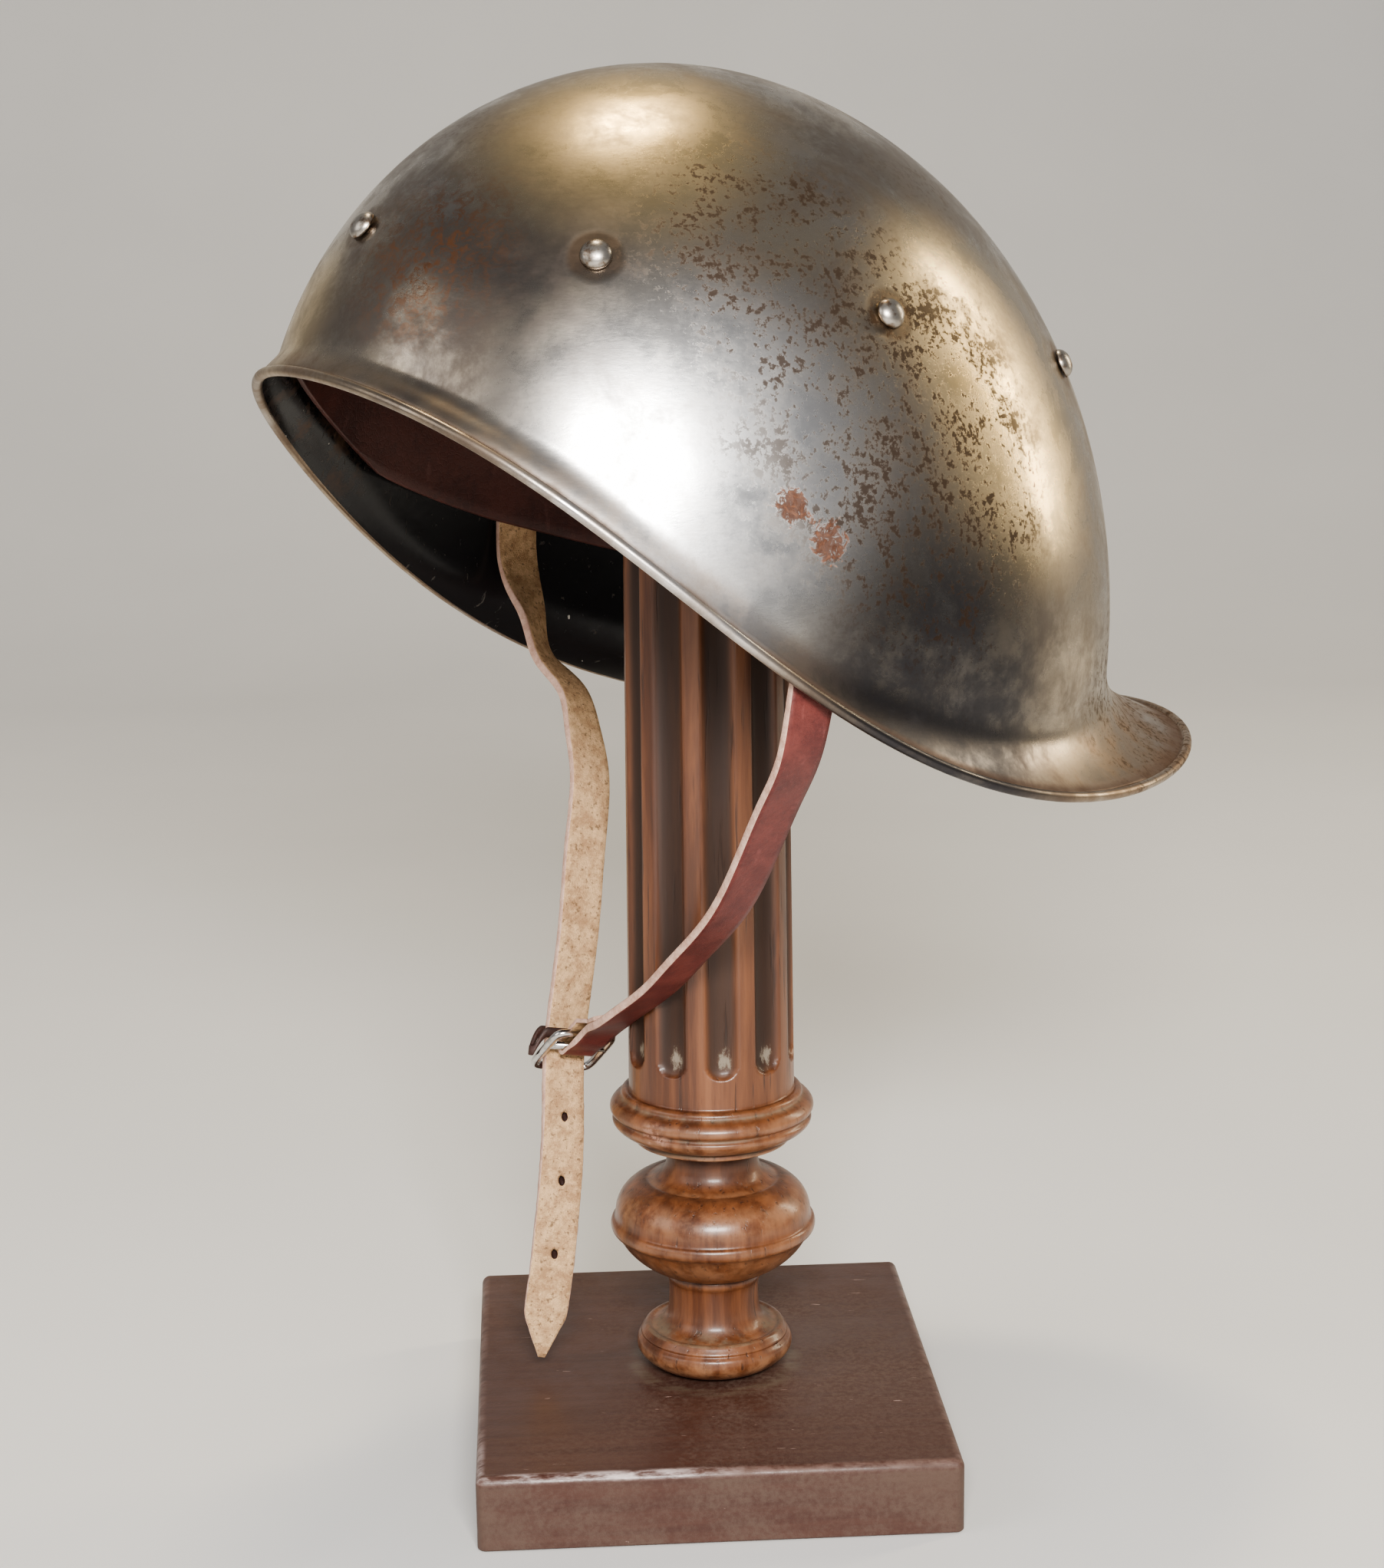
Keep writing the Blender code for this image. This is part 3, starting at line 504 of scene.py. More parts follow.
def make_rivet_steel():
    f = Finish("rivet_steel", Metallic=1.0)
    at = f.place()
    wear = f.noise(at, 500, 4, 0.6)
    colour = f.mix(f.step(wear, 0.45, 0.7), (0.42, 0.39, 0.35), (0.17, 0.12, 0.085))
    return f.done(Base_Color=colour, Roughness=0.24 + wear * 0.2, Normal=f.bump(wear, 0.2, 0.1))


RIVET_STEEL = make_rivet_steel()


def ease(x):
    """A smooth step from 0 to 1."""
    x = np.clip(x, 0, 1)
    return x ** 2 * (3 - 2 * x)


def liner_depth(phi, s):
    """How far inside the outer face the leather band lies; s is 0 at its top, 1 at its lower edge."""
    from_strap = abs(abs((np.degrees(phi) + 180) % 360 - 180) - STRAP_BEARING)
    over_strap = 1 - ease((from_strap - STRAP_REACH) / STRAP_REACH)
    at_edge = ease((s - 0.25) / 0.6) * (0.2 + 0.8 * np.sin(phi) ** 2)
    return SHEET + LINER_OFF + LINER_STANDOFF * np.maximum(over_strap, at_edge)


def make_rivets():
    for k, ((b, side), (site, axis)) in enumerate(zip(RIVET_PLACES, SITES), 1):
        phi = pi - radians(b) * side
        share = LINER_TOP_Z / (LINER_TOP_Z - terms(LINER_EDGE, phi))
        deep = float(liner_depth(np.array(phi), share)) + LINER_T + 2 * GAP
        low = -deep - WASHER_T
        head = [(HEAD_R * np.sin(radians(a)), 0.4 + HEAD_H * np.cos(radians(a))) for a in range(0, 91, 10)]
        outline = head + [(SHANK_R, 0.35), (SHANK_R, -deep), (WASHER_R, -deep), (WASHER_R - 0.1, low + 0.3),
                          (WASHER_R - 0.5, low), (0.0, low)]
        bm = bmesh.new()
        verts = [bm.verts.new((r * MM, 0, z * MM)) for r, z in outline]
        edges = [bm.edges.new(pair) for pair in zip(verts, verts[1:])]
        bmesh.ops.spin(bm, geom=verts + edges, cent=(0, 0, 0), axis=(0, 0, 1), angle=2 * pi, steps=32,
                       use_merge=True)
        close(bm)
        bmesh.ops.transform(bm, matrix=along_axis(axis, site * MM), verts=bm.verts)
        finish_piece(f"rivet_head_{k}", bm, (RIVET_STEEL,), (f"rivet_{k}",))


make_rivets()

# %% [markdown]
# ## Leather
# The band inside is smooth and dark red. The strap's grain side is oxblood, its flesh side is tan
# suede, and where it was cut its edge is pale and a little furry. The keeper is nearly black. One
# function makes them all, as only colours and scales differ.

# %% Leather finishes
def make_leather(name, dark, light, blotch, nap, rough, bumpy, streak=0.0, specks=0.0):
    """blotch and nap are noise scales: the slow change of colour and the surface's own texture."""
    f = Finish(name)
    at = f.place()
    slow, fine = f.noise(at, blotch, 4, 0.6), f.noise(at, nap, 5, 0.72)
    colour = f.mix(f.step(slow * 0.6 + fine * 0.4, 0.36, 0.64), dark, light)
    if streak:
        rub = f.step(f.noise(f.place((1, 1, 0.25)), nap * 0.6, 4, 0.7), 0.58, 0.72)
        colour = f.mix(rub * streak, colour, tuple(min(1.0, c * 1.9 + 0.04) for c in light))
    if specks:
        fleck = f.step(f.noise(at, nap * 0.8, 3, 0.6), 0.57, 0.68)
        colour = f.mix(fleck * specks, colour, tuple(c * 0.42 for c in dark))
    cells = f.node("TexVoronoi", {"feature": "DISTANCE_TO_EDGE"}, {"Vector": at, "Scale": nap * 1.6})
    skin = f.bump(fine + f.step(cells, 0.0, 0.12) * 0.35, bumpy, 0.25)
    return f.done(Base_Color=colour, Roughness=rough + fine * 0.12, Normal=skin)


LINER = make_leather("liner_leather", (0.045, 0.012, 0.009), (0.085, 0.024, 0.017), 45, 420, 0.36, 0.25, 0.25)
GRAIN = make_leather("strap_grain", (0.085, 0.016, 0.015), (0.155, 0.036, 0.030), 120, 900, 0.36, 0.28, 0.25)
FLESH = make_leather("strap_flesh", (0.43, 0.255, 0.135), (0.74, 0.50, 0.285), 260, 1000, 0.85, 1.0,
                     specks=0.75)
EDGE = make_leather("strap_cut_edge", (0.50, 0.30, 0.225), (0.72, 0.50, 0.40), 300, 1500, 0.80, 0.8)
# this near-black leather also lines the strap's punched holes as painted shade
KEEPER_AND_HOLE_SHADE = make_leather("keeper_leather", (0.022, 0.009, 0.007), (0.055, 0.022, 0.016), 200, 1100, 0.42, 0.4)
print("leathers ready")

# %% [markdown]
# ## The band inside
# The band hangs from the eight rivets. It lies close to the steel at the brow and stands off it at
# the sides, where the chin strap passes behind it. Its section has rounded edges, top and bottom.

# %% Band
BAND_ROUND, BAND_ROWS, EDGE_SHARE = 160, 26, 0.01


def make_band():
    around = np.arange(BAND_ROUND) * 2 * pi / BAND_ROUND
    edge = terms(LINER_EDGE, around)
    flat = np.linspace(EDGE_SHARE, 1 - EDGE_SHARE, BAND_ROWS)
    turns = np.radians((40, 90, 140))

    def ring(s, depth):
        level = LINER_TOP_Z + (edge - LINER_TOP_Z) * s
        return at_level(around, level, liner_depth(around, min(max(s, 0), 1)) + depth)

    rings = [ring(s, 0.0) for s in flat]
    rings += [ring(1 - EDGE_SHARE + EDGE_SHARE * np.sin(a), LINER_T * (1 - np.cos(a)) / 2) for a in turns]
    rings += [ring(s, LINER_T) for s in flat[::-1]]
    rings += [ring(EDGE_SHARE - EDGE_SHARE * np.sin(a), LINER_T * (1 + np.cos(a)) / 2) for a in turns]
    rings.append(rings[0])
    bm = close(net([placed(r) for r in rings]))
    finish_piece("liner_band", bm, (LINER,), ("liner",))


make_band()

# %% [markdown]
# ## The chin strap
# Two straps leave the wall behind the band. The near one comes down to the wire buckle, folds
# round its bar and runs back behind itself. The far one shows its flesh side, passes through the
# frame and hangs down with three punched holes and a pointed end. A smooth curve through measured
# points carries a rectangular section with slightly rounded corners.

# %% Strap helpers
STRAP_W, STRAP_T, SKIVED_T, STRAP_CLEAR = 12.5, 2.2, 1.2, 1.1
STRAP_HOLE_R, RIVET_HOLE_R = 0.95, 2.0


def spline(knots, values, at):
    """A natural smooth curve through rows of values."""
    knots, values = np.asarray(knots, float), np.asarray(values, float)
    h = np.diff(knots)
    m, a = np.zeros((len(knots), values.shape[1])), np.eye(len(knots))
    for i in range(1, len(knots) - 1):
        a[i, i - 1:i + 2] = h[i - 1], 2 * (h[i - 1] + h[i]), h[i]
        m[i] = 6 * ((values[i + 1] - values[i]) / h[i] - (values[i] - values[i - 1]) / h[i - 1])
    m = np.linalg.solve(a, m)
    out = []
    for x in np.atleast_1d(at):
        i = int(np.clip(np.searchsorted(knots, x) - 1, 0, len(h) - 1))
        p, q = (knots[i + 1] - x), (x - knots[i])
        out.append((m[i] * p ** 3 + m[i + 1] * q ** 3) / (6 * h[i])
                   + (values[i] / h[i] - m[i] * h[i] / 6) * p
                   + (values[i + 1] / h[i] - m[i + 1] * h[i] / 6) * q)
    return np.array(out)


def measure(points):
    """The length along a path up to each of its points."""
    return np.concatenate([[0], np.cumsum(np.linalg.norm(np.diff(points, axis=0), axis=1))])


def resampled(rows, step_mm):
    """Rows of numbers whose first three are a path, evenly spaced along it."""
    s = measure(rows[:, :3])
    at = np.linspace(0, s[-1], max(4, int(s[-1] / step_mm)))
    return np.column_stack([np.interp(at, s, rows[:, c]) for c in range(rows.shape[1])])


# The strap's section as shares of its half width and half thickness: low side, edge, high side, edge.
SECTION = ([(-0.97 + 1.94 * i / 8, -1.0) for i in range(9)] + [(1.0, -0.72), (1.0, 0.0), (1.0, 0.72)]
           + [(0.97 - 1.94 * i / 8, 1.0) for i in range(9)] + [(-1.0, 0.72), (-1.0, 0.0), (-1.0, -0.72)])
LOW_FACES, CUT_FACES = range(8), (8, 9, 10, 11, 20, 21, 22, 23)


def strap_net(path, wide, thick, half, grain_low):
    """A strap along path. grain_low puts the grain side on the low side of the section."""
    run = unit(np.gradient(path, axis=0))
    wide = unit(wide - (wide * run).sum(1)[:, None] * run)
    face = np.cross(run, wide)
    furry = np.random.default_rng(7).normal(0, 0.05, (len(path), 2))
    rings = []
    for i in range(len(path)):
        ring = [path[i] + wide[i] * (half[i] * a + (furry[i, int(a > 0)] if abs(a) == 1.0 else 0.0))
                + face[i] * thick[i] / 2 * b for a, b in SECTION]
        rings.append(ring)
    bm = net(rings)
    across = bm.faces.layers.int["across"]
    for f in bm.faces:
        k = f[across]
        if k in CUT_FACES:
            f.material_index = 2
        else:
            f.material_index = 0 if (k in LOW_FACES) == grain_low else 1
    close(bm)
    rims = [e for e in bm.edges if e.is_boundary]
    for f in bmesh.ops.holes_fill(bm, edges=rims, sides=0)["faces"]:
        f.material_index = 2
    bmesh.ops.recalc_face_normals(bm, faces=bm.faces)
    return bm


def in_wall(side, rows):
    """The strap behind the band: centre line and width direction at rows of bearing and level."""
    deep = SHEET + STRAP_CLEAR + STRAP_T / 2

    def place(phi, z):
        return placed(at_level(phi, z, deep)[0])

    phis = [(radians(b) * side, z) for b, z in rows]
    pts = [place(phi, z) for phi, z in phis]
    wide = [unit(place(phi - side * 1e-3, z) - place(phi + side * 1e-3, z)) for phi, z in phis]
    return pts, wide


print("strap", STRAP_W, "x", STRAP_T, "mm, section of", len(SECTION), "points")

# %% [markdown]
# The far strap is laid first. Its table holds places on the centre line, the bearing of the strap's
# width, and the share of its full width, which falls towards the tip. The holes are cut with a
# boolean, and lean so that their walls show and not the floor behind; the walls take the near-black
# keeper leather as painted shade.

# %% Far strap
RIGHT_INNER = (  # bearing, level, inside the wall
    (STRAP_BEARING, 9.0), (STRAP_BEARING, 0.0), (86.4, -22.0), (86.4, -44.0), (86.0, -64.0))
STRAP_HOLE_LEVELS, HOLE_LEAN = (94.9, 75.9, 55.9), 0.75
RIGHT_HANG = (  # x, y, z, bearing, share
    (-48.0, 78.9, 241.8, 31, 1), (-44.7, 68.7, 229.3, 66, 1), (-40.6, 57.4, 217.3, 76, 1),
    (-33.2, 49.0, 209.4, 62, 1), (-30.5, 41.8, 199.4, 46, 1), (-29.0, 35.7, 189.2, 37, 1),
    (-30.8, 25.8, 168.8, 29, 1), (-33.1, 18.9, 148.0, 27, 1), (-36.3, 14.4, 126.6, 27, 1),
    (-38.5, 10.6, 110.4, 27, 1), (-39.1, 7.8, 94.5, 23, 1), (-40.0, 5.0, 79.0, 15, 1),
    (-41.9, 1.4, 62.2, 9, 1), (-43.3, -0.5, 51.4, 5, 1), (-45.1, -2.4, 40.5, 4, 1),
    (-45.6, -3.0, 37.3, 4, 0.98), (-47.0, -4.8, 25.7, 4, 0.16))


def drill(ob, at, axis, r, reach, finish):
    """Cuts a round hole through a piece."""
    bm = bmesh.new()
    bmesh.ops.create_cone(bm, cap_ends=True, segments=20, radius1=r * MM, radius2=r * MM,
                          depth=2 * reach * MM)
    bmesh.ops.transform(bm, matrix=along_axis(axis, np.asarray(at) * MM), verts=bm.verts)
    me = bpy.data.meshes.new("hole")
    bm.to_mesh(me)
    bm.free()
    me.materials.append(finish)
    cutter = bpy.data.objects.new("hole", me)
    bpy.context.scene.collection.objects.link(cutter)
    m = ob.modifiers.new("hole", "BOOLEAN")
    m.operation, m.solver, m.object, m.material_mode = "DIFFERENCE", "EXACT", cutter, "TRANSFER"
    bpy.context.view_layer.objects.active = ob
    bpy.ops.object.modifier_apply(modifier=m.name)
    bpy.data.objects.remove(cutter, do_unlink=True)


def make_far_strap():
    inner, along = in_wall(1, RIGHT_INNER)
    rows = [[*p, *w, STRAP_W / 2] for p, w in zip(inner, along)]
    rows += [[x, y, z, np.cos(radians(b)), np.sin(radians(b)), 0, share * STRAP_W / 2]
             for x, y, z, b, share in RIGHT_HANG]
    rows = np.array(rows)
    knots = measure(rows[:, :3])
    at = np.linspace(0, knots[-1], 500)
    fine = spline(knots, rows, at)
    fine[:, 6] = np.interp(at, knots, rows[:, 6])
    fine = resampled(fine, 1.4)
    bm = strap_net(fine[:, :3], fine[:, 3:6], np.full(len(fine), STRAP_T), fine[:, 6], grain_low=True)
    ob = finish_piece("strap_far", bm, (GRAIN, FLESH, EDGE), ("strap_right",))
    site, axis = rivet_site(RIVET_BEARINGS[2], 1)
    drill(ob, site, axis, RIVET_HOLE_R, 9, EDGE)
    for z in STRAP_HOLE_LEVELS:
        i = int(np.argmin(abs(fine[:, 2] - z)))
        axis = unit(np.cross(fine[i, 3:6], (0, 0, 1)) - np.array([0, 0, HOLE_LEAN]))
        # painted shade: the holes' walls take the near-black keeper leather
        drill(ob, fine[i, :3], axis, STRAP_HOLE_R, 4, KEEPER_AND_HOLE_SHADE)
    print("far strap", round(float(measure(fine[:, :3])[-1])), "mm")


make_far_strap()

# %% [markdown]
# The near strap needs the buckle's place first: the middle of its bar, the way along the bar (W),
# the way the strap runs (R) and the way out of the frame (UP). The strap's end is pared thin, turned
# round the bar and laid back behind the strap, a gap away from it.

# %% Near strap
FRAME_AT, FRAME_RUN = np.array([-34.7, 6.7, 114.4]), np.array([-0.52, 0.52, -0.67])
FRAME_W = unit((0.875, 0.43, -0.22))
FRAME_R = unit(FRAME_RUN - FRAME_RUN @ FRAME_W * FRAME_W)
FRAME_UP = np.cross(FRAME_W, FRAME_R)
BAR_R, WIRE_R, RETURN_L, END_W, TAPER_L = 1.2, 1.2, 22.0, 9.8, 26.0
LEFT_INNER = (  # bearing, level, inside the wall
    (STRAP_BEARING, 9.0), (STRAP_BEARING, 0.0), (87.6, -20.0), (89.2, -42.0), (91.0, -62.0), (92.6, -78.0))
LEFT_HANG = (  # x, y, z
    (18.8, -97.0, 217.6), (15.2, -88.4, 205.5), (10.4, -78.8, 190.4), (3.9, -65.6, 172.0),
    (-6.6, -46.4, 153.3), (-11.7, -37.1, 144.7), (-19.1, -23.6, 134.5), (-24.9, -12.9, 127.1))


def make_near_strap():
    at, w, r, up = FRAME_AT, FRAME_W, FRAME_R, FRAME_UP
    inner, along = in_wall(-1, LEFT_INNER)
    off, bend = BAR_R + GAP + STRAP_T / 2, BAR_R + GAP + SKIVED_T / 2
    tail = [at - up * (off + 0.4) - r * 12.0, at - up * (off + 0.2) - r * 7.5,
            at - up * (bend + 0.2) - r * 2.6]
    pts = [np.array(p) for p in inner] + [np.array(p) for p in LEFT_HANG] + tail
    wide0 = (along + [unit((0.86, 0.50, 0.0))] * 6
             + [unit((0.87, 0.49, -0.02)), unit((0.87, 0.48, -0.05))] + [w] * 3)
    thick0 = [STRAP_T] * (len(pts) - 1) + [SKIVED_T]
    knots = measure(np.array(pts))
    fine = spline(knots, np.hstack([pts, wide0, np.array(thick0)[:, None]]), np.linspace(0, knots[-1], 400))
    fine[:, 6] = np.clip(fine[:, 6], SKIVED_T, STRAP_T)
    more = [np.array([*(at + bend * (np.cos(a) * r + np.sin(a) * up)), *w, SKIVED_T])
            for a in np.radians(np.linspace(-90, 90, 15))]
    more += [np.array([*(at + up * (bend + 0.05) - r * b), *w, SKIVED_T]) for b in (3.5, 7.0, 10.0)]
    apart = (STRAP_T + SKIVED_T) / 2 + GAP
    for b in (14.0, 18.0, RETURN_L):
        q = spline(knots, np.hstack([pts, wide0]), [knots[-1] - b - 0.5, knots[-1] - b])
        run = unit(q[1, :3] - q[0, :3])
        more.append(np.array([*(q[1, :3] - unit(np.cross(run, q[1, 3:6])) * apart), *q[1, 3:6], SKIVED_T]))
    fine = resampled(np.vstack([fine, more]), 0.8)
    s = (knots[-1] - 4.0 - measure(fine[:, :3])) / TAPER_L
    half = (END_W + (STRAP_W - END_W) * ease(s)) / 2
    bm = strap_net(fine[:, :3], fine[:, 3:6], fine[:, 6], half, grain_low=False)
    ob = finish_piece("strap_near", bm, (GRAIN, FLESH, EDGE), ("strap_left",))
    site, axis = rivet_site(RIVET_BEARINGS[2], -1)
    drill(ob, site, axis, RIVET_HOLE_R, 9, EDGE)
    print("near strap", round(float(measure(fine[:, :3])[-1])), "mm")


make_near_strap()

# %% [markdown]
# ## The buckle
# The buckle is bent from polished wire: a rounded frame with a bar across it, a little off its
# middle. The frame's line is a superellipse, which has flat sides and round corners.

# %% Buckle
def make_wire_steel():
    f = Finish("buckle_steel", Metallic=1.0)
    wear = f.noise(f.place(), 700, 4, 0.6)
    colour = f.mix(f.step(wear, 0.45, 0.75), (0.66, 0.65, 0.63), (0.40, 0.37, 0.34))
    return f.done(Base_Color=colour, Roughness=0.14 + wear * 0.16, Normal=f.bump(wear, 0.12, 0.08))


def loop_net(centre, side, up, section):
    """A closed loop whose section (in mm across and up) follows the centre line."""
    return [[c + s * a + u * b for a, b in section] for c, s, u in zip(centre, side, up)]


FRAME_HALF_W, FRAME_HALF_L, FRAME_ROUND, BAR_BACK = 9.1, 8.9, 7.0, 2.2


def make_buckle():
    a = np.arange(120) * 2 * pi / 120
    c, s = np.cos(a), np.sin(a)
    across, down = (np.sign(v) * abs(v) ** (2 / FRAME_ROUND) for v in (c, s))
    path = (FRAME_AT + np.outer(FRAME_HALF_W * across, FRAME_W)
            + np.outer(BAR_BACK + FRAME_HALF_L * down, FRAME_R))
    path = resampled(np.vstack([path, path[:1]]), 0.55)[:-1]
    run = unit(np.roll(path, -1, 0) - np.roll(path, 1, 0))
    t = np.arange(16) * 2 * pi / 16
    ringed = loop_net(path, np.cross(run, FRAME_UP), np.tile(FRAME_UP, (len(path), 1)),
                      np.column_stack([WIRE_R * np.cos(t), WIRE_R * np.sin(t)]))
    bm = close(net(ringed + [ringed[0]]))
    bmesh.ops.create_cone(bm, cap_ends=True, segments=16, radius1=BAR_R * MM, radius2=BAR_R * MM,
                          depth=2 * FRAME_HALF_W * MM,
                          matrix=axes_at(FRAME_R, FRAME_UP, FRAME_W, FRAME_AT * MM))
    bmesh.ops.recalc_face_normals(bm, faces=bm.faces)
    finish_piece("buckle", bm, (make_wire_steel(),), ("buckle_frame",))


make_buckle()

# %% [markdown]
# ## The keeper
# A small dark leather loop goes round the far strap at the buckle. One side has some slack and
# sags. A smooth line goes round the strap, and a flat section follows it.

# %% Keeper
KEEPER_T, KEEPER_H, KEEPER_SAG, KEEPER_SLACK, KEEPER_UP = 1.0, 2.8, 5.6, 3.6, 2.45


def make_keeper():
    rows = np.array(RIGHT_HANG)[8:10]
    z0 = FRAME_AT[2] + KEEPER_UP
    f = (rows[0, 2] - z0) / (rows[0, 2] - rows[1, 2])
    p = rows[0, :3] + (rows[1, :3] - rows[0, :3]) * f
    run = unit(rows[0, :3] - rows[1, :3])
    b = radians(rows[0, 3])
    t = np.array([-np.sin(b), np.cos(b), 0])
    t = unit(t - run * (run @ t))
    w = np.cross(t, run)
    a, c, k, slack = STRAP_W / 2 + 0.6, STRAP_T / 2 + 0.4, KEEPER_T, KEEPER_SLACK
    mid = np.array([(-a - slack - k / 2, 0.0), (-a - slack * 0.7 - k * 0.3, -c * 0.9), (-a + 0.4, -c - k / 2),
                    (0.0, -c - k / 2), (a - 0.5, -c - k / 2), (a + k / 2, -c * 0.6), (a + k / 2, c * 0.6),
                    (a - 0.5, c + k / 2), (0.0, c + k / 2), (-a + 0.4, c + k / 2),
                    (-a - slack * 0.7 - k * 0.3, c * 0.9)])
    n, fine = len(mid), []
    for i in range(n):
        q = [mid[(i + j - 1) % n] for j in range(4)]
        for s in np.arange(8) / 8:
            fine.append(0.5 * (2 * q[1] + (q[2] - q[0]) * s + (2 * q[0] - 5 * q[1] + 4 * q[2] - q[3]) * s * s
                               + (3 * q[1] - q[0] - 3 * q[2] + q[3]) * s ** 3))
    fine = np.array(fine)
    go = unit(np.roll(fine, -1, 0) - np.roll(fine, 1, 0))
    out = np.column_stack([go[:, 1], -go[:, 0]])
    drop = KEEPER_SAG * np.clip((-fine[:, 0] - a) / slack, 0, 1) ** 2
    centre = p + np.outer(fine[:, 0], w) + np.outer(fine[:, 1], t) - np.outer(drop, run)
    side = np.outer(out[:, 0], w) + np.outer(out[:, 1], t)
    h, q = KEEPER_H / 2, KEEPER_T / 2
    section = [(-q, -h * 0.9), (-q * 0.6, -h), (q * 0.6, -h), (q, -h * 0.9), (q, 0),
               (q, h * 0.9), (q * 0.6, h), (-q * 0.6, h), (-q, h * 0.9), (-q, 0)]
    rings = loop_net(centre, side, np.tile(run, (len(centre), 1)), section)
    bm = close(net(rings + [rings[0]]))
    finish_piece("keeper_loop", bm, (KEEPER_AND_HOLE_SHADE,), ("strap_keeper",))


make_keeper()

# %% [markdown]
# ## The stand's wood
# The column is a brown hardwood turned on a lathe, with a varnish that has worn through on the
# high beads and gathered dust in the grooves. The paler beads also carry a painted highlight, and the
# sunk places are painted dark as shade. The base is darker, with a red stain under a scuffed varnish;
# its pale rubbed top edge also carries a painted highlight. Wood grain is noise stretched along the trunk.

# %% Wood finishes
BASE_W, BASE_D, BASE_H, BASE_EDGE, BASE_UNDER_EDGE = 130.0, 142.6, 20.7, 2.4, 0.6
COLUMN_AT = (3.0, -0.4)


def make_column_wood():
    f = Finish("column_wood", Coat_Roughness=0.20)
    at = f.place()
    fibre = f.noise(f.place((1, 1, 0.06)), 260, 5, 0.65, 0.3)
    bands = f.noise(f.place((1, 1, 0.12)), 55, 4, 0.6, 1.2)
    pores = f.step(f.noise(f.place((1, 1, 0.05)), 620, 3, 0.6), 0.60, 0.70)
    tone = fibre * 0.45 + bands * 0.55
    colour = f.node("ValToRGB", {"stops": ((0.30, (0.045, 0.016, 0.008)), (0.44, (0.090, 0.030, 0.012)),
                                           (0.57, (0.175, 0.065, 0.026)), (0.74, (0.26, 0.108, 0.046)))},
                    {"Fac": tone})
    colour = f.mix(pores * 0.65, colour, (0.022, 0.008, 0.005))
    recess, crest = f.mark("recess"), f.mark("crest")
    # painted shade: the sunk places of the flutes and grooves are painted nearly black
    colour = f.mix(f.step(recess, 0.05, 0.85) * 0.88, colour, (0.020, 0.009, 0.005))
    # the proud beads are painted paler: worn varnish, with a painted highlight where they catch the light
    worn_and_highlit_crests = crest * f.step(f.noise(at, 150, 4, 0.65), 0.34, 0.62)
    colour = f.mix(worn_and_highlit_crests * 0.7, colour, (0.37, 0.195, 0.105))
    scoop = f.step(f.mark("scoop") * 0.5 + f.noise(f.place((1, 1, 0.4)), 520, 6, 0.8), 0.78, 0.96)
    colour = f.mix(scoop * 0.8, colour, (0.25, 0.215, 0.165))
    dust = f.mark("dust") * f.step(f.noise(at, 120, 4, 0.65), 0.40, 0.62)
    colour = f.mix(dust * 0.6, colour, (0.19, 0.155, 0.105))
    chip = f.near(at, (-15.2, -23.4, 96.0), 1.5, 6.5) * f.step(f.noise(at, 420, 4, 0.7), 0.44, 0.56)
    colour = f.mix(chip * 0.8, colour, (0.36, 0.19, 0.13))
    rough = 0.32 + fibre * 0.16 + scoop * 0.2 + dust * 0.25 + recess * 0.25
    skin = f.bump(fibre + pores * -1.2, 0.35, 0.35)
    coat = 0.4 - dust * 0.4 - recess * 0.36
    return f.done(Base_Color=colour, Roughness=rough, Coat_Weight=coat, Normal=skin)


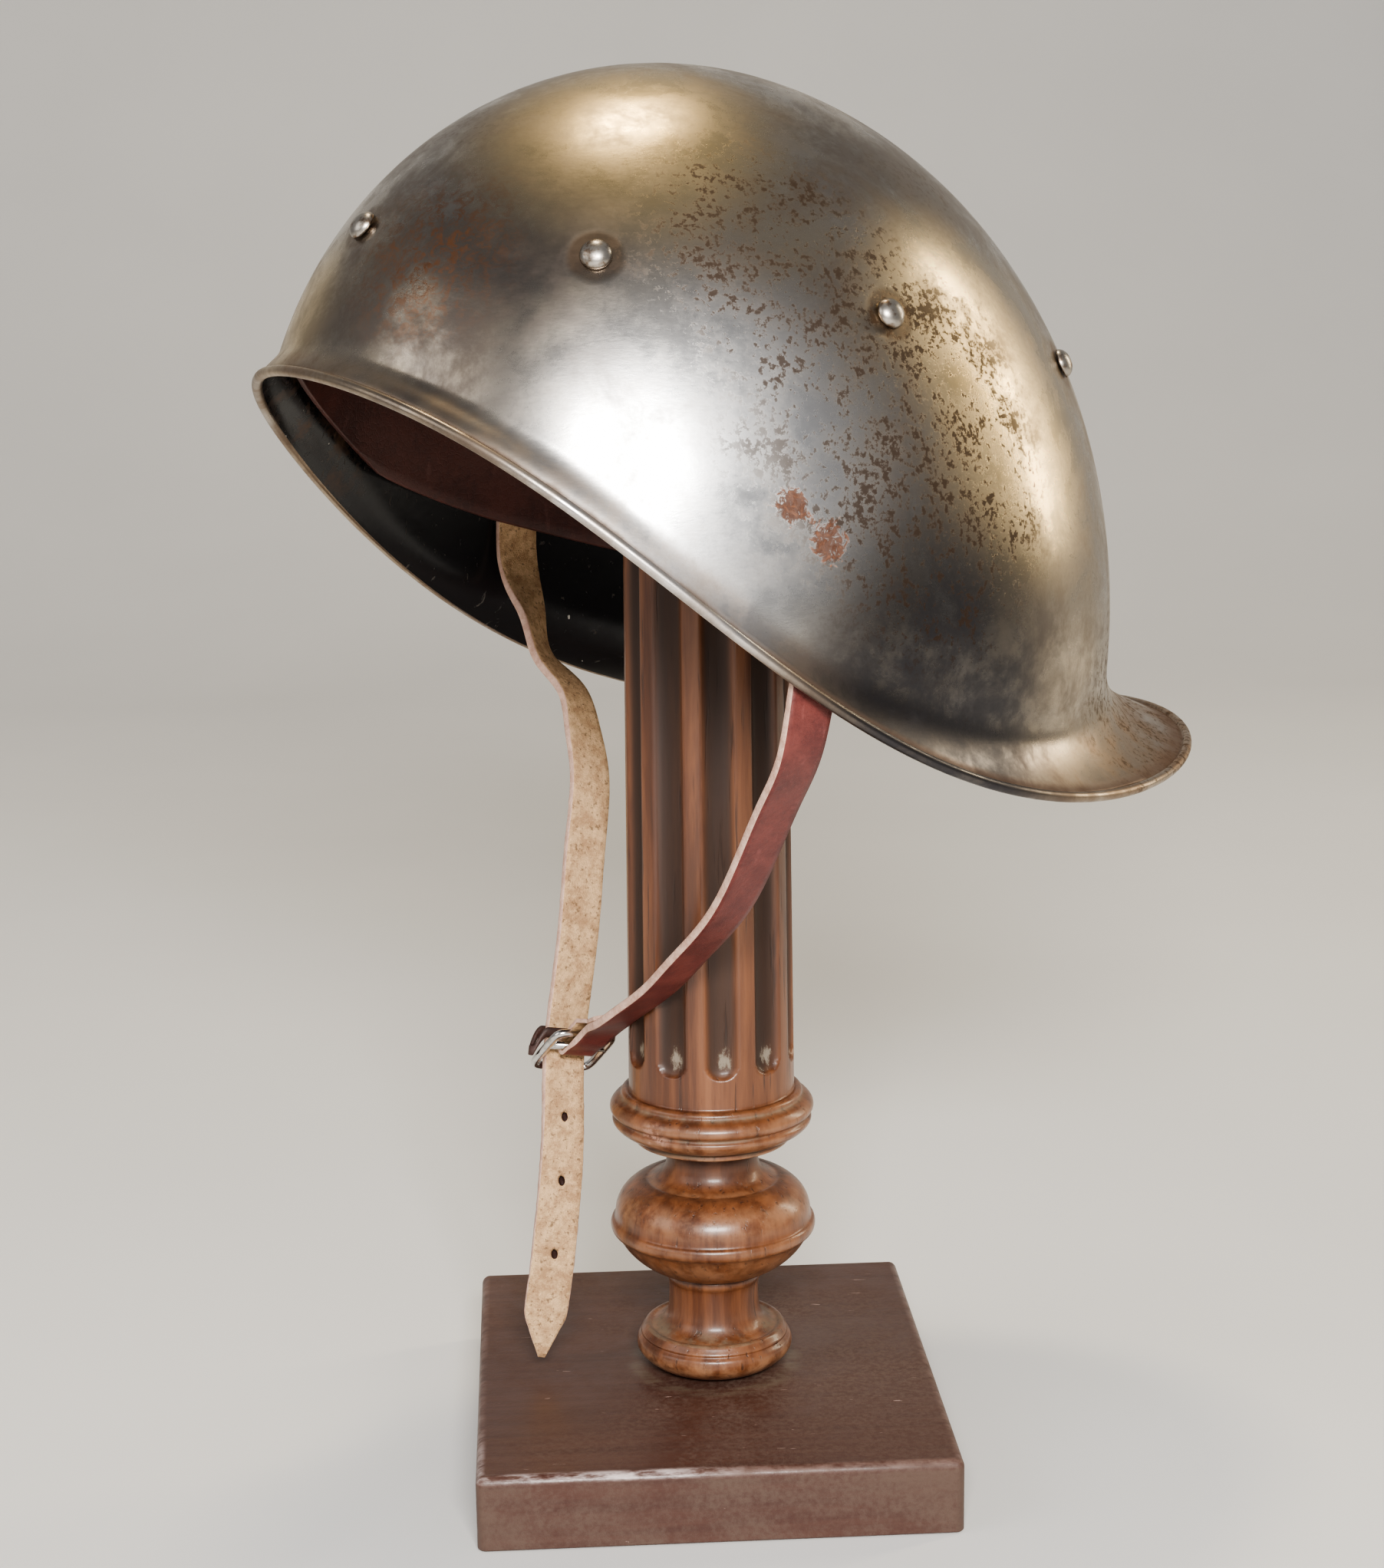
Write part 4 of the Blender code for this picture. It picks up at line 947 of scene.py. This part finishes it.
def make_base_wood():
    f = Finish("base_wood", Coat_Roughness=0.25)
    at = f.place()
    fibre = f.noise(f.place((0.05, 1, 1)), 300, 5, 0.65, 0.2)
    cloud = f.noise(at, 22, 5, 0.65, 0.6)
    speck = f.noise(at, 620, 4, 0.75)
    scuff = f.step(cloud * 0.5 + f.noise(at, 130, 6, 0.75) * 0.25 + speck * 0.25, 0.40, 0.60)
    colour = f.mix(f.step(fibre, 0.30, 0.70), (0.056, 0.019, 0.013), (0.080, 0.031, 0.021))
    hazy = f.near(at, (34, 6, 20), 14, 78) * 0.35 + 0.10
    colour = f.mix((scuff * 0.4 + hazy) * f.step(speck, 0.36, 0.62, 0.4, 1.0), colour, (0.140, 0.092, 0.070))
    x, y, z = (f.node("SeparateXYZ", {}, {0: at}, out=i) for i in range(3))

    def by_edge(v, width):
        return f.step(f.sum("ABSOLUTE", v, 0.0) / (width / 2 * MM), 0.955, 0.985)

    side = f.sum("MAXIMUM", by_edge(x, BASE_W), by_edge(y, BASE_D))
    # the rubbed top edge is painted pale: worn varnish, with a painted highlight along the rounded edge,
    # strongest at the front left corner
    lip = side * f.step(z, 0.0185, 0.0200)
    rub = f.step(f.noise(f.place((0.3, 1, 1)), 260, 4, 0.7), 0.36, 0.62)
    bright = f.near(at, (-34, -71, 20), 16, 50)
    bare_and_highlit_edge = f.mix(bright, (0.30, 0.20, 0.17), (0.62, 0.52, 0.50))
    colour = f.mix(lip * rub * (bright * 0.6 + 0.34), colour, bare_and_highlit_edge)
    bloom = f.step(z, 0.0178, 0.0188, 1.0, 0.0) * f.step(cloud * 0.75 + speck * 0.25, 0.36, 0.58)
    colour = f.mix(bloom * 0.6, colour, (0.100, 0.064, 0.047))
    scratch = f.step(f.noise(f.place((1, 7, 1), (0, 0, 0.4)), 120, 3, 0.6, 0.4), 0.715, 0.735)
    colour = f.mix(scratch * 0.8, colour, (0.38, 0.27, 0.23))
    far = f.distance(at, (*COLUMN_AT, BASE_H))
    halo = f.step(far, 0.0195, 0.0215) * f.step(far, 0.0230, 0.0265, 1.0, 0.0)
    colour = f.mix(halo * rub * 0.35, colour, (0.19, 0.16, 0.11))
    skin = f.bump(fibre * 0.7 + speck + scuff * 0.6, 0.2, 0.25)
    rough, coat = 0.42 + scuff * 0.26, 0.22 - scuff * 0.2
    return f.done(Base_Color=colour, Roughness=rough, Coat_Weight=coat, Normal=skin)


COLUMN_WOOD, BASE_WOOD = make_column_wood(), make_base_wood()
print("woods ready")

# %% [markdown]
# ## Turning the column
# The outline follows the solid model's, with finer grooves at the foot and the collar. Its corners
# are cut twice, so that beads and hollows read as turned wood. Above the collar the shaft has ten
# flutes, scoops with rounded ends. The marks tell the finish where wood is sunk, where it stands
# proud, and where dust or torn grain lies.

# %% Column
N_FLUTES, FLUTE_TURN, FLUTE_DEPTH, FLUTE_HALF, FLUTE_END = 10, -86.3, 2.2, 0.195, 4.2
SHAFT_FOOT_R, SHAFT_TOP_R, SHAFT_FOOT_Z, SHAFT_TOP_Z = 23.4, 22.0, 104.7, 300.0
FLUTE_FOOT_Z, FLUTE_TOP_Z, COLUMN_CAP_R, COLUMN_ROUND = 112.6, 303.0, 60.0, 240
FLUTE_LEVELS = np.concatenate([[SHAFT_FOOT_Z, 107.0, 109.5, 111.5], np.linspace(112.2, 121.0, 24),
                               np.linspace(123, 292, 24), np.linspace(295, 306, 14), [309.0]])
DUSTY = ((33.4, 2.2, 1.0), (102.2, 0.9, 1.0), (96.5, 0.7, 1.0), (90.0, 1.2, 0.7))  # height, reach, share
FOOT_GROOVE_R = 19.9  # the foot's groove is dusty inside this radius, the bead beside it isn't
COLUMN = (  # radius, height: foot, stem, vase, neck, collar, from the bottom up
    (15.0, 21.0), (19.6, 23.3), (22.4, 26.4), (22.1, 29.2), (21.2, 30.1), (20.9, 30.5), (21.1, 31.0),
    (20.4, 31.9), (19.7, 33.0), (18.6, 33.2), (17.8, 32.6), (15.0, 33.8), (13.3, 36.2), (12.8, 40.0),
    (12.8, 46.4), (13.5, 47.4), (13.5, 48.9), (13.1, 49.5), (17.0, 50.8), (21.6, 53.6), (25.4, 57.4),
    (27.5, 61.2), (28.9, 62.0), (29.3, 63.6),
    (28.9, 65.1), (27.9, 65.6), (27.7, 69.2), (26.1, 72.7), (22.8, 75.6), (19.2, 77.0), (18.2, 76.7),
    (14.8, 78.2), (13.0, 81.4), (13.2, 85.6), (15.6, 88.3), (21.8, 88.7), (22.2, 89.6), (21.8, 90.5),
    (25.6, 92.0), (27.9, 93.9), (28.4, 95.4), (27.6, 96.2), (27.5, 96.8), (28.8, 97.7), (28.9, 99.4),
    (27.6, 101.1), (26.2, 101.8), (25.7, 102.3), (25.6, 103.3), (24.6, 104.0), (23.5, 103.8))


def cut_corners(points, times):
    """Each pass swaps a corner for two points a quarter of the way along its sides."""
    points = np.asarray(points, float)
    for _ in range(times):
        a, b = points[:-1], points[1:]
        cut = np.stack([a * 0.75 + b * 0.25, a * 0.25 + b * 0.75], 1).reshape(-1, 2)
        points = np.vstack([points[:1], cut, points[-1:]])
    return points


def make_column():
    n = COLUMN_ROUND
    turn = np.arange(n) * 2 * pi / n + radians(FLUTE_TURN)
    ring = np.column_stack([np.cos(turn), np.sin(turn), 0 * turn])
    axis, lift = np.array([*COLUMN_AT, 0.0]), np.array([0, 0, 1.0])
    outline = cut_corners(COLUMN, 2)
    rings, recess, crest, scoop, dust = [], [], [], [], []

    def add(r, z, deep=0.0, hollow=None, high=0.0, ends=None, dusty=0.0):
        r = np.broadcast_to(r, n)
        rings.append(axis + ring * r[:, None] + lift * z)
        recess.append(np.full(n, deep) if hollow is None else hollow)
        crest.append(np.full(n, high))
        scoop.append(np.zeros(n) if ends is None else ends)
        dust.append(np.full(n, dusty))

    add(0.01, COLUMN[0][1])
    for i, (r, z) in enumerate(outline):
        lo, hi = max(0, i - 5), min(len(outline), i + 6)
        around_r = outline[lo:hi, 0].mean()
        deep, high = np.clip((around_r - r) / 1.6, 0, 1), np.clip((r - around_r) / 0.8, 0, 1)
        dusty = [np.clip(1 - abs(z - groove) / reach, 0, 1) * share for groove, reach, share in DUSTY]
        dusty[0] *= r < FOOT_GROOVE_R
        add(r, z, deep=deep, high=high, dusty=max(dusty))
    spread = (np.arange(n) * N_FLUTES / n + 0.5) % 1.0 - 0.5
    angle = spread * 2 * pi / N_FLUTES
    for z in FLUTE_LEVELS:
        r = SHAFT_FOOT_R + (SHAFT_TOP_R - SHAFT_FOOT_R) * (z - SHAFT_FOOT_Z) / (SHAFT_TOP_Z - SHAFT_FOOT_Z)
        from_end = min(z - FLUTE_FOOT_Z, FLUTE_TOP_Z - z)
        open_ = np.sqrt(max(0.0, 1 - (1 - np.clip(from_end / FLUTE_END, 0, 1)) ** 2))
        width = max(FLUTE_HALF * open_, 1e-6)
        cut = FLUTE_DEPTH * open_ * np.sqrt(np.clip(1 - (angle / width) ** 2, 0, 1))
        near_foot = np.clip(1 - abs(z - FLUTE_FOOT_Z - 5.0) / 7.5, 0, 1)
        mid = np.clip(1 - (np.abs(angle / width - 0.15) / 0.75) ** 2, 0, 1)
        hollow = cut / FLUTE_DEPTH * (1 - 0.4 * near_foot * mid)
        add(r - cut, z, hollow=hollow, ends=near_foot * mid * (cut > 0.2))
    end_r = SHAFT_TOP_R - 0.1
    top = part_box("stand_column")[1][2] / MM
    for k in np.linspace(1.0, 0.0, 12):
        rr = max(end_r * k, 0.01)
        add(rr, top - COLUMN_CAP_R + np.sqrt(COLUMN_CAP_R ** 2 - rr * rr))
    bm = close(net(rings, marks={"recess": recess, "crest": crest, "scoop": scoop, "dust": dust}))
    finish_piece("column", bm, (COLUMN_WOOD,), ("stand_column",))


make_column()

# %% [markdown]
# ## The base
# A plain board. The bevel operator rounds a box's edges: the top ones and the four corners well
# over, the lower ones only a little, as the board stands on them. The flat faces are shaded flat.

# %% Base
def make_base():
    bm = bmesh.new()
    bmesh.ops.create_cube(bm, size=1.0)
    bmesh.ops.scale(bm, vec=(BASE_W * MM, BASE_D * MM, BASE_H * MM), verts=bm.verts)
    bmesh.ops.translate(bm, vec=(0, 0, BASE_H * MM / 2), verts=bm.verts)
    upper = [e for e in bm.edges if max(v.co.z for v in e.verts) > 0.01]
    bmesh.ops.bevel(bm, geom=upper, offset=BASE_EDGE * MM, segments=8, profile=0.5, affect="EDGES",
                    material=-1)
    lower = [e for e in bm.edges if max(v.co.z for v in e.verts) < 0.001]
    bmesh.ops.bevel(bm, geom=lower, offset=BASE_UNDER_EDGE * MM, segments=3, profile=0.5, affect="EDGES",
                    material=-1)
    bmesh.ops.recalc_face_normals(bm, faces=bm.faces)
    ob = finish_piece("base_board", bm, (BASE_WOOD,), ("stand_base",))
    for p in ob.data.polygons:
        p.use_smooth = p.area < 2e-4


make_base()

# %% [markdown]
# ## Floor and light
# A pale sheet that sweeps up behind the object, a large soft light in front for the bowl's bright
# patch, and weaker ones overhead and at the side for the crown and the nape's crescent. A wide fill
# from the left and a grey sky keep the shadows open.

# %% Floor
def make_floor():
    f = Finish("pale_floor", Roughness=0.85)
    tone = f.noise(f.place(), 6, 3, 0.5)
    f.done(Base_Color=f.mix(tone, (0.70, 0.69, 0.67), (0.76, 0.75, 0.73)))
    bend = [(-3.0, 0.0), (1.2, 0.0)] + [(1.2 + 0.9 * np.sin(a), 0.9 - 0.9 * np.cos(a))
                                         for a in np.radians(np.linspace(6, 90, 15))] + [(2.1, 3.4)]
    bm = bmesh.new()
    verts = [bm.verts.new((-4.0, y, z - 0.0004)) for y, z in bend]
    edges = [bm.edges.new(pair) for pair in zip(verts, verts[1:])]
    side = bmesh.ops.extrude_edge_only(bm, edges=edges)["geom"]
    bmesh.ops.translate(bm, vec=(8.0, 0, 0), verts=[g for g in side if isinstance(g, bmesh.types.BMVert)])
    bmesh.ops.recalc_face_normals(bm, faces=bm.faces)
    me = bpy.data.meshes.new("floor")
    bm.to_mesh(me)
    bm.free()
    for p in me.polygons:
        p.use_smooth = True
    me.materials.append(f.material)
    floor = bpy.data.objects.new("floor", me)
    bpy.context.scene.collection.objects.link(floor)


def soft_light(name, at, to, size, watts, colour=(1, 1, 1), tall=None):
    data = bpy.data.lights.new(name, "AREA")
    data.energy, data.size, data.color = watts, size, colour
    if tall:
        data.shape, data.size_y = "RECTANGLE", tall
    ob = bpy.data.objects.new(name, data)
    away = unit(np.array(at) - np.array(to))
    u = unit(np.cross((0, 0, 1.0), away))
    ob.matrix_world = axes_at(u, np.cross(away, u), away, at)
    bpy.context.scene.collection.objects.link(ob)


make_floor()
soft_light("key", (0.0, -1.38, 0.84), (0, 0, 0.27), 0.62, 36, (1.0, 0.98, 0.95), tall=0.26)
soft_light("overhead", (0.02, 0.55, 1.9), (0, 0, 0.3), 0.30, 9, (1.0, 0.84, 0.58), tall=0.2)
soft_light("nape_side", (1.40, 0.52, 0.70), (0, 0, 0.25), 0.20, 8, (1.0, 0.86, 0.62), tall=0.9)
soft_light("fill", (-1.4, -0.6, 0.9), (0, 0, 0.2), 1.0, 6, (1.0, 0.97, 0.93))
world = bpy.data.worlds.new("studio")
world.use_nodes = True
world.node_tree.nodes["Background"].inputs[0].default_value = (0.62, 0.62, 0.64, 1)
world.node_tree.nodes["Background"].inputs[1].default_value = 0.42
bpy.context.scene.world = world
bpy.context.scene.view_settings.view_transform = "AgX"
bpy.context.scene.view_settings.look = "AgX - Medium High Contrast"
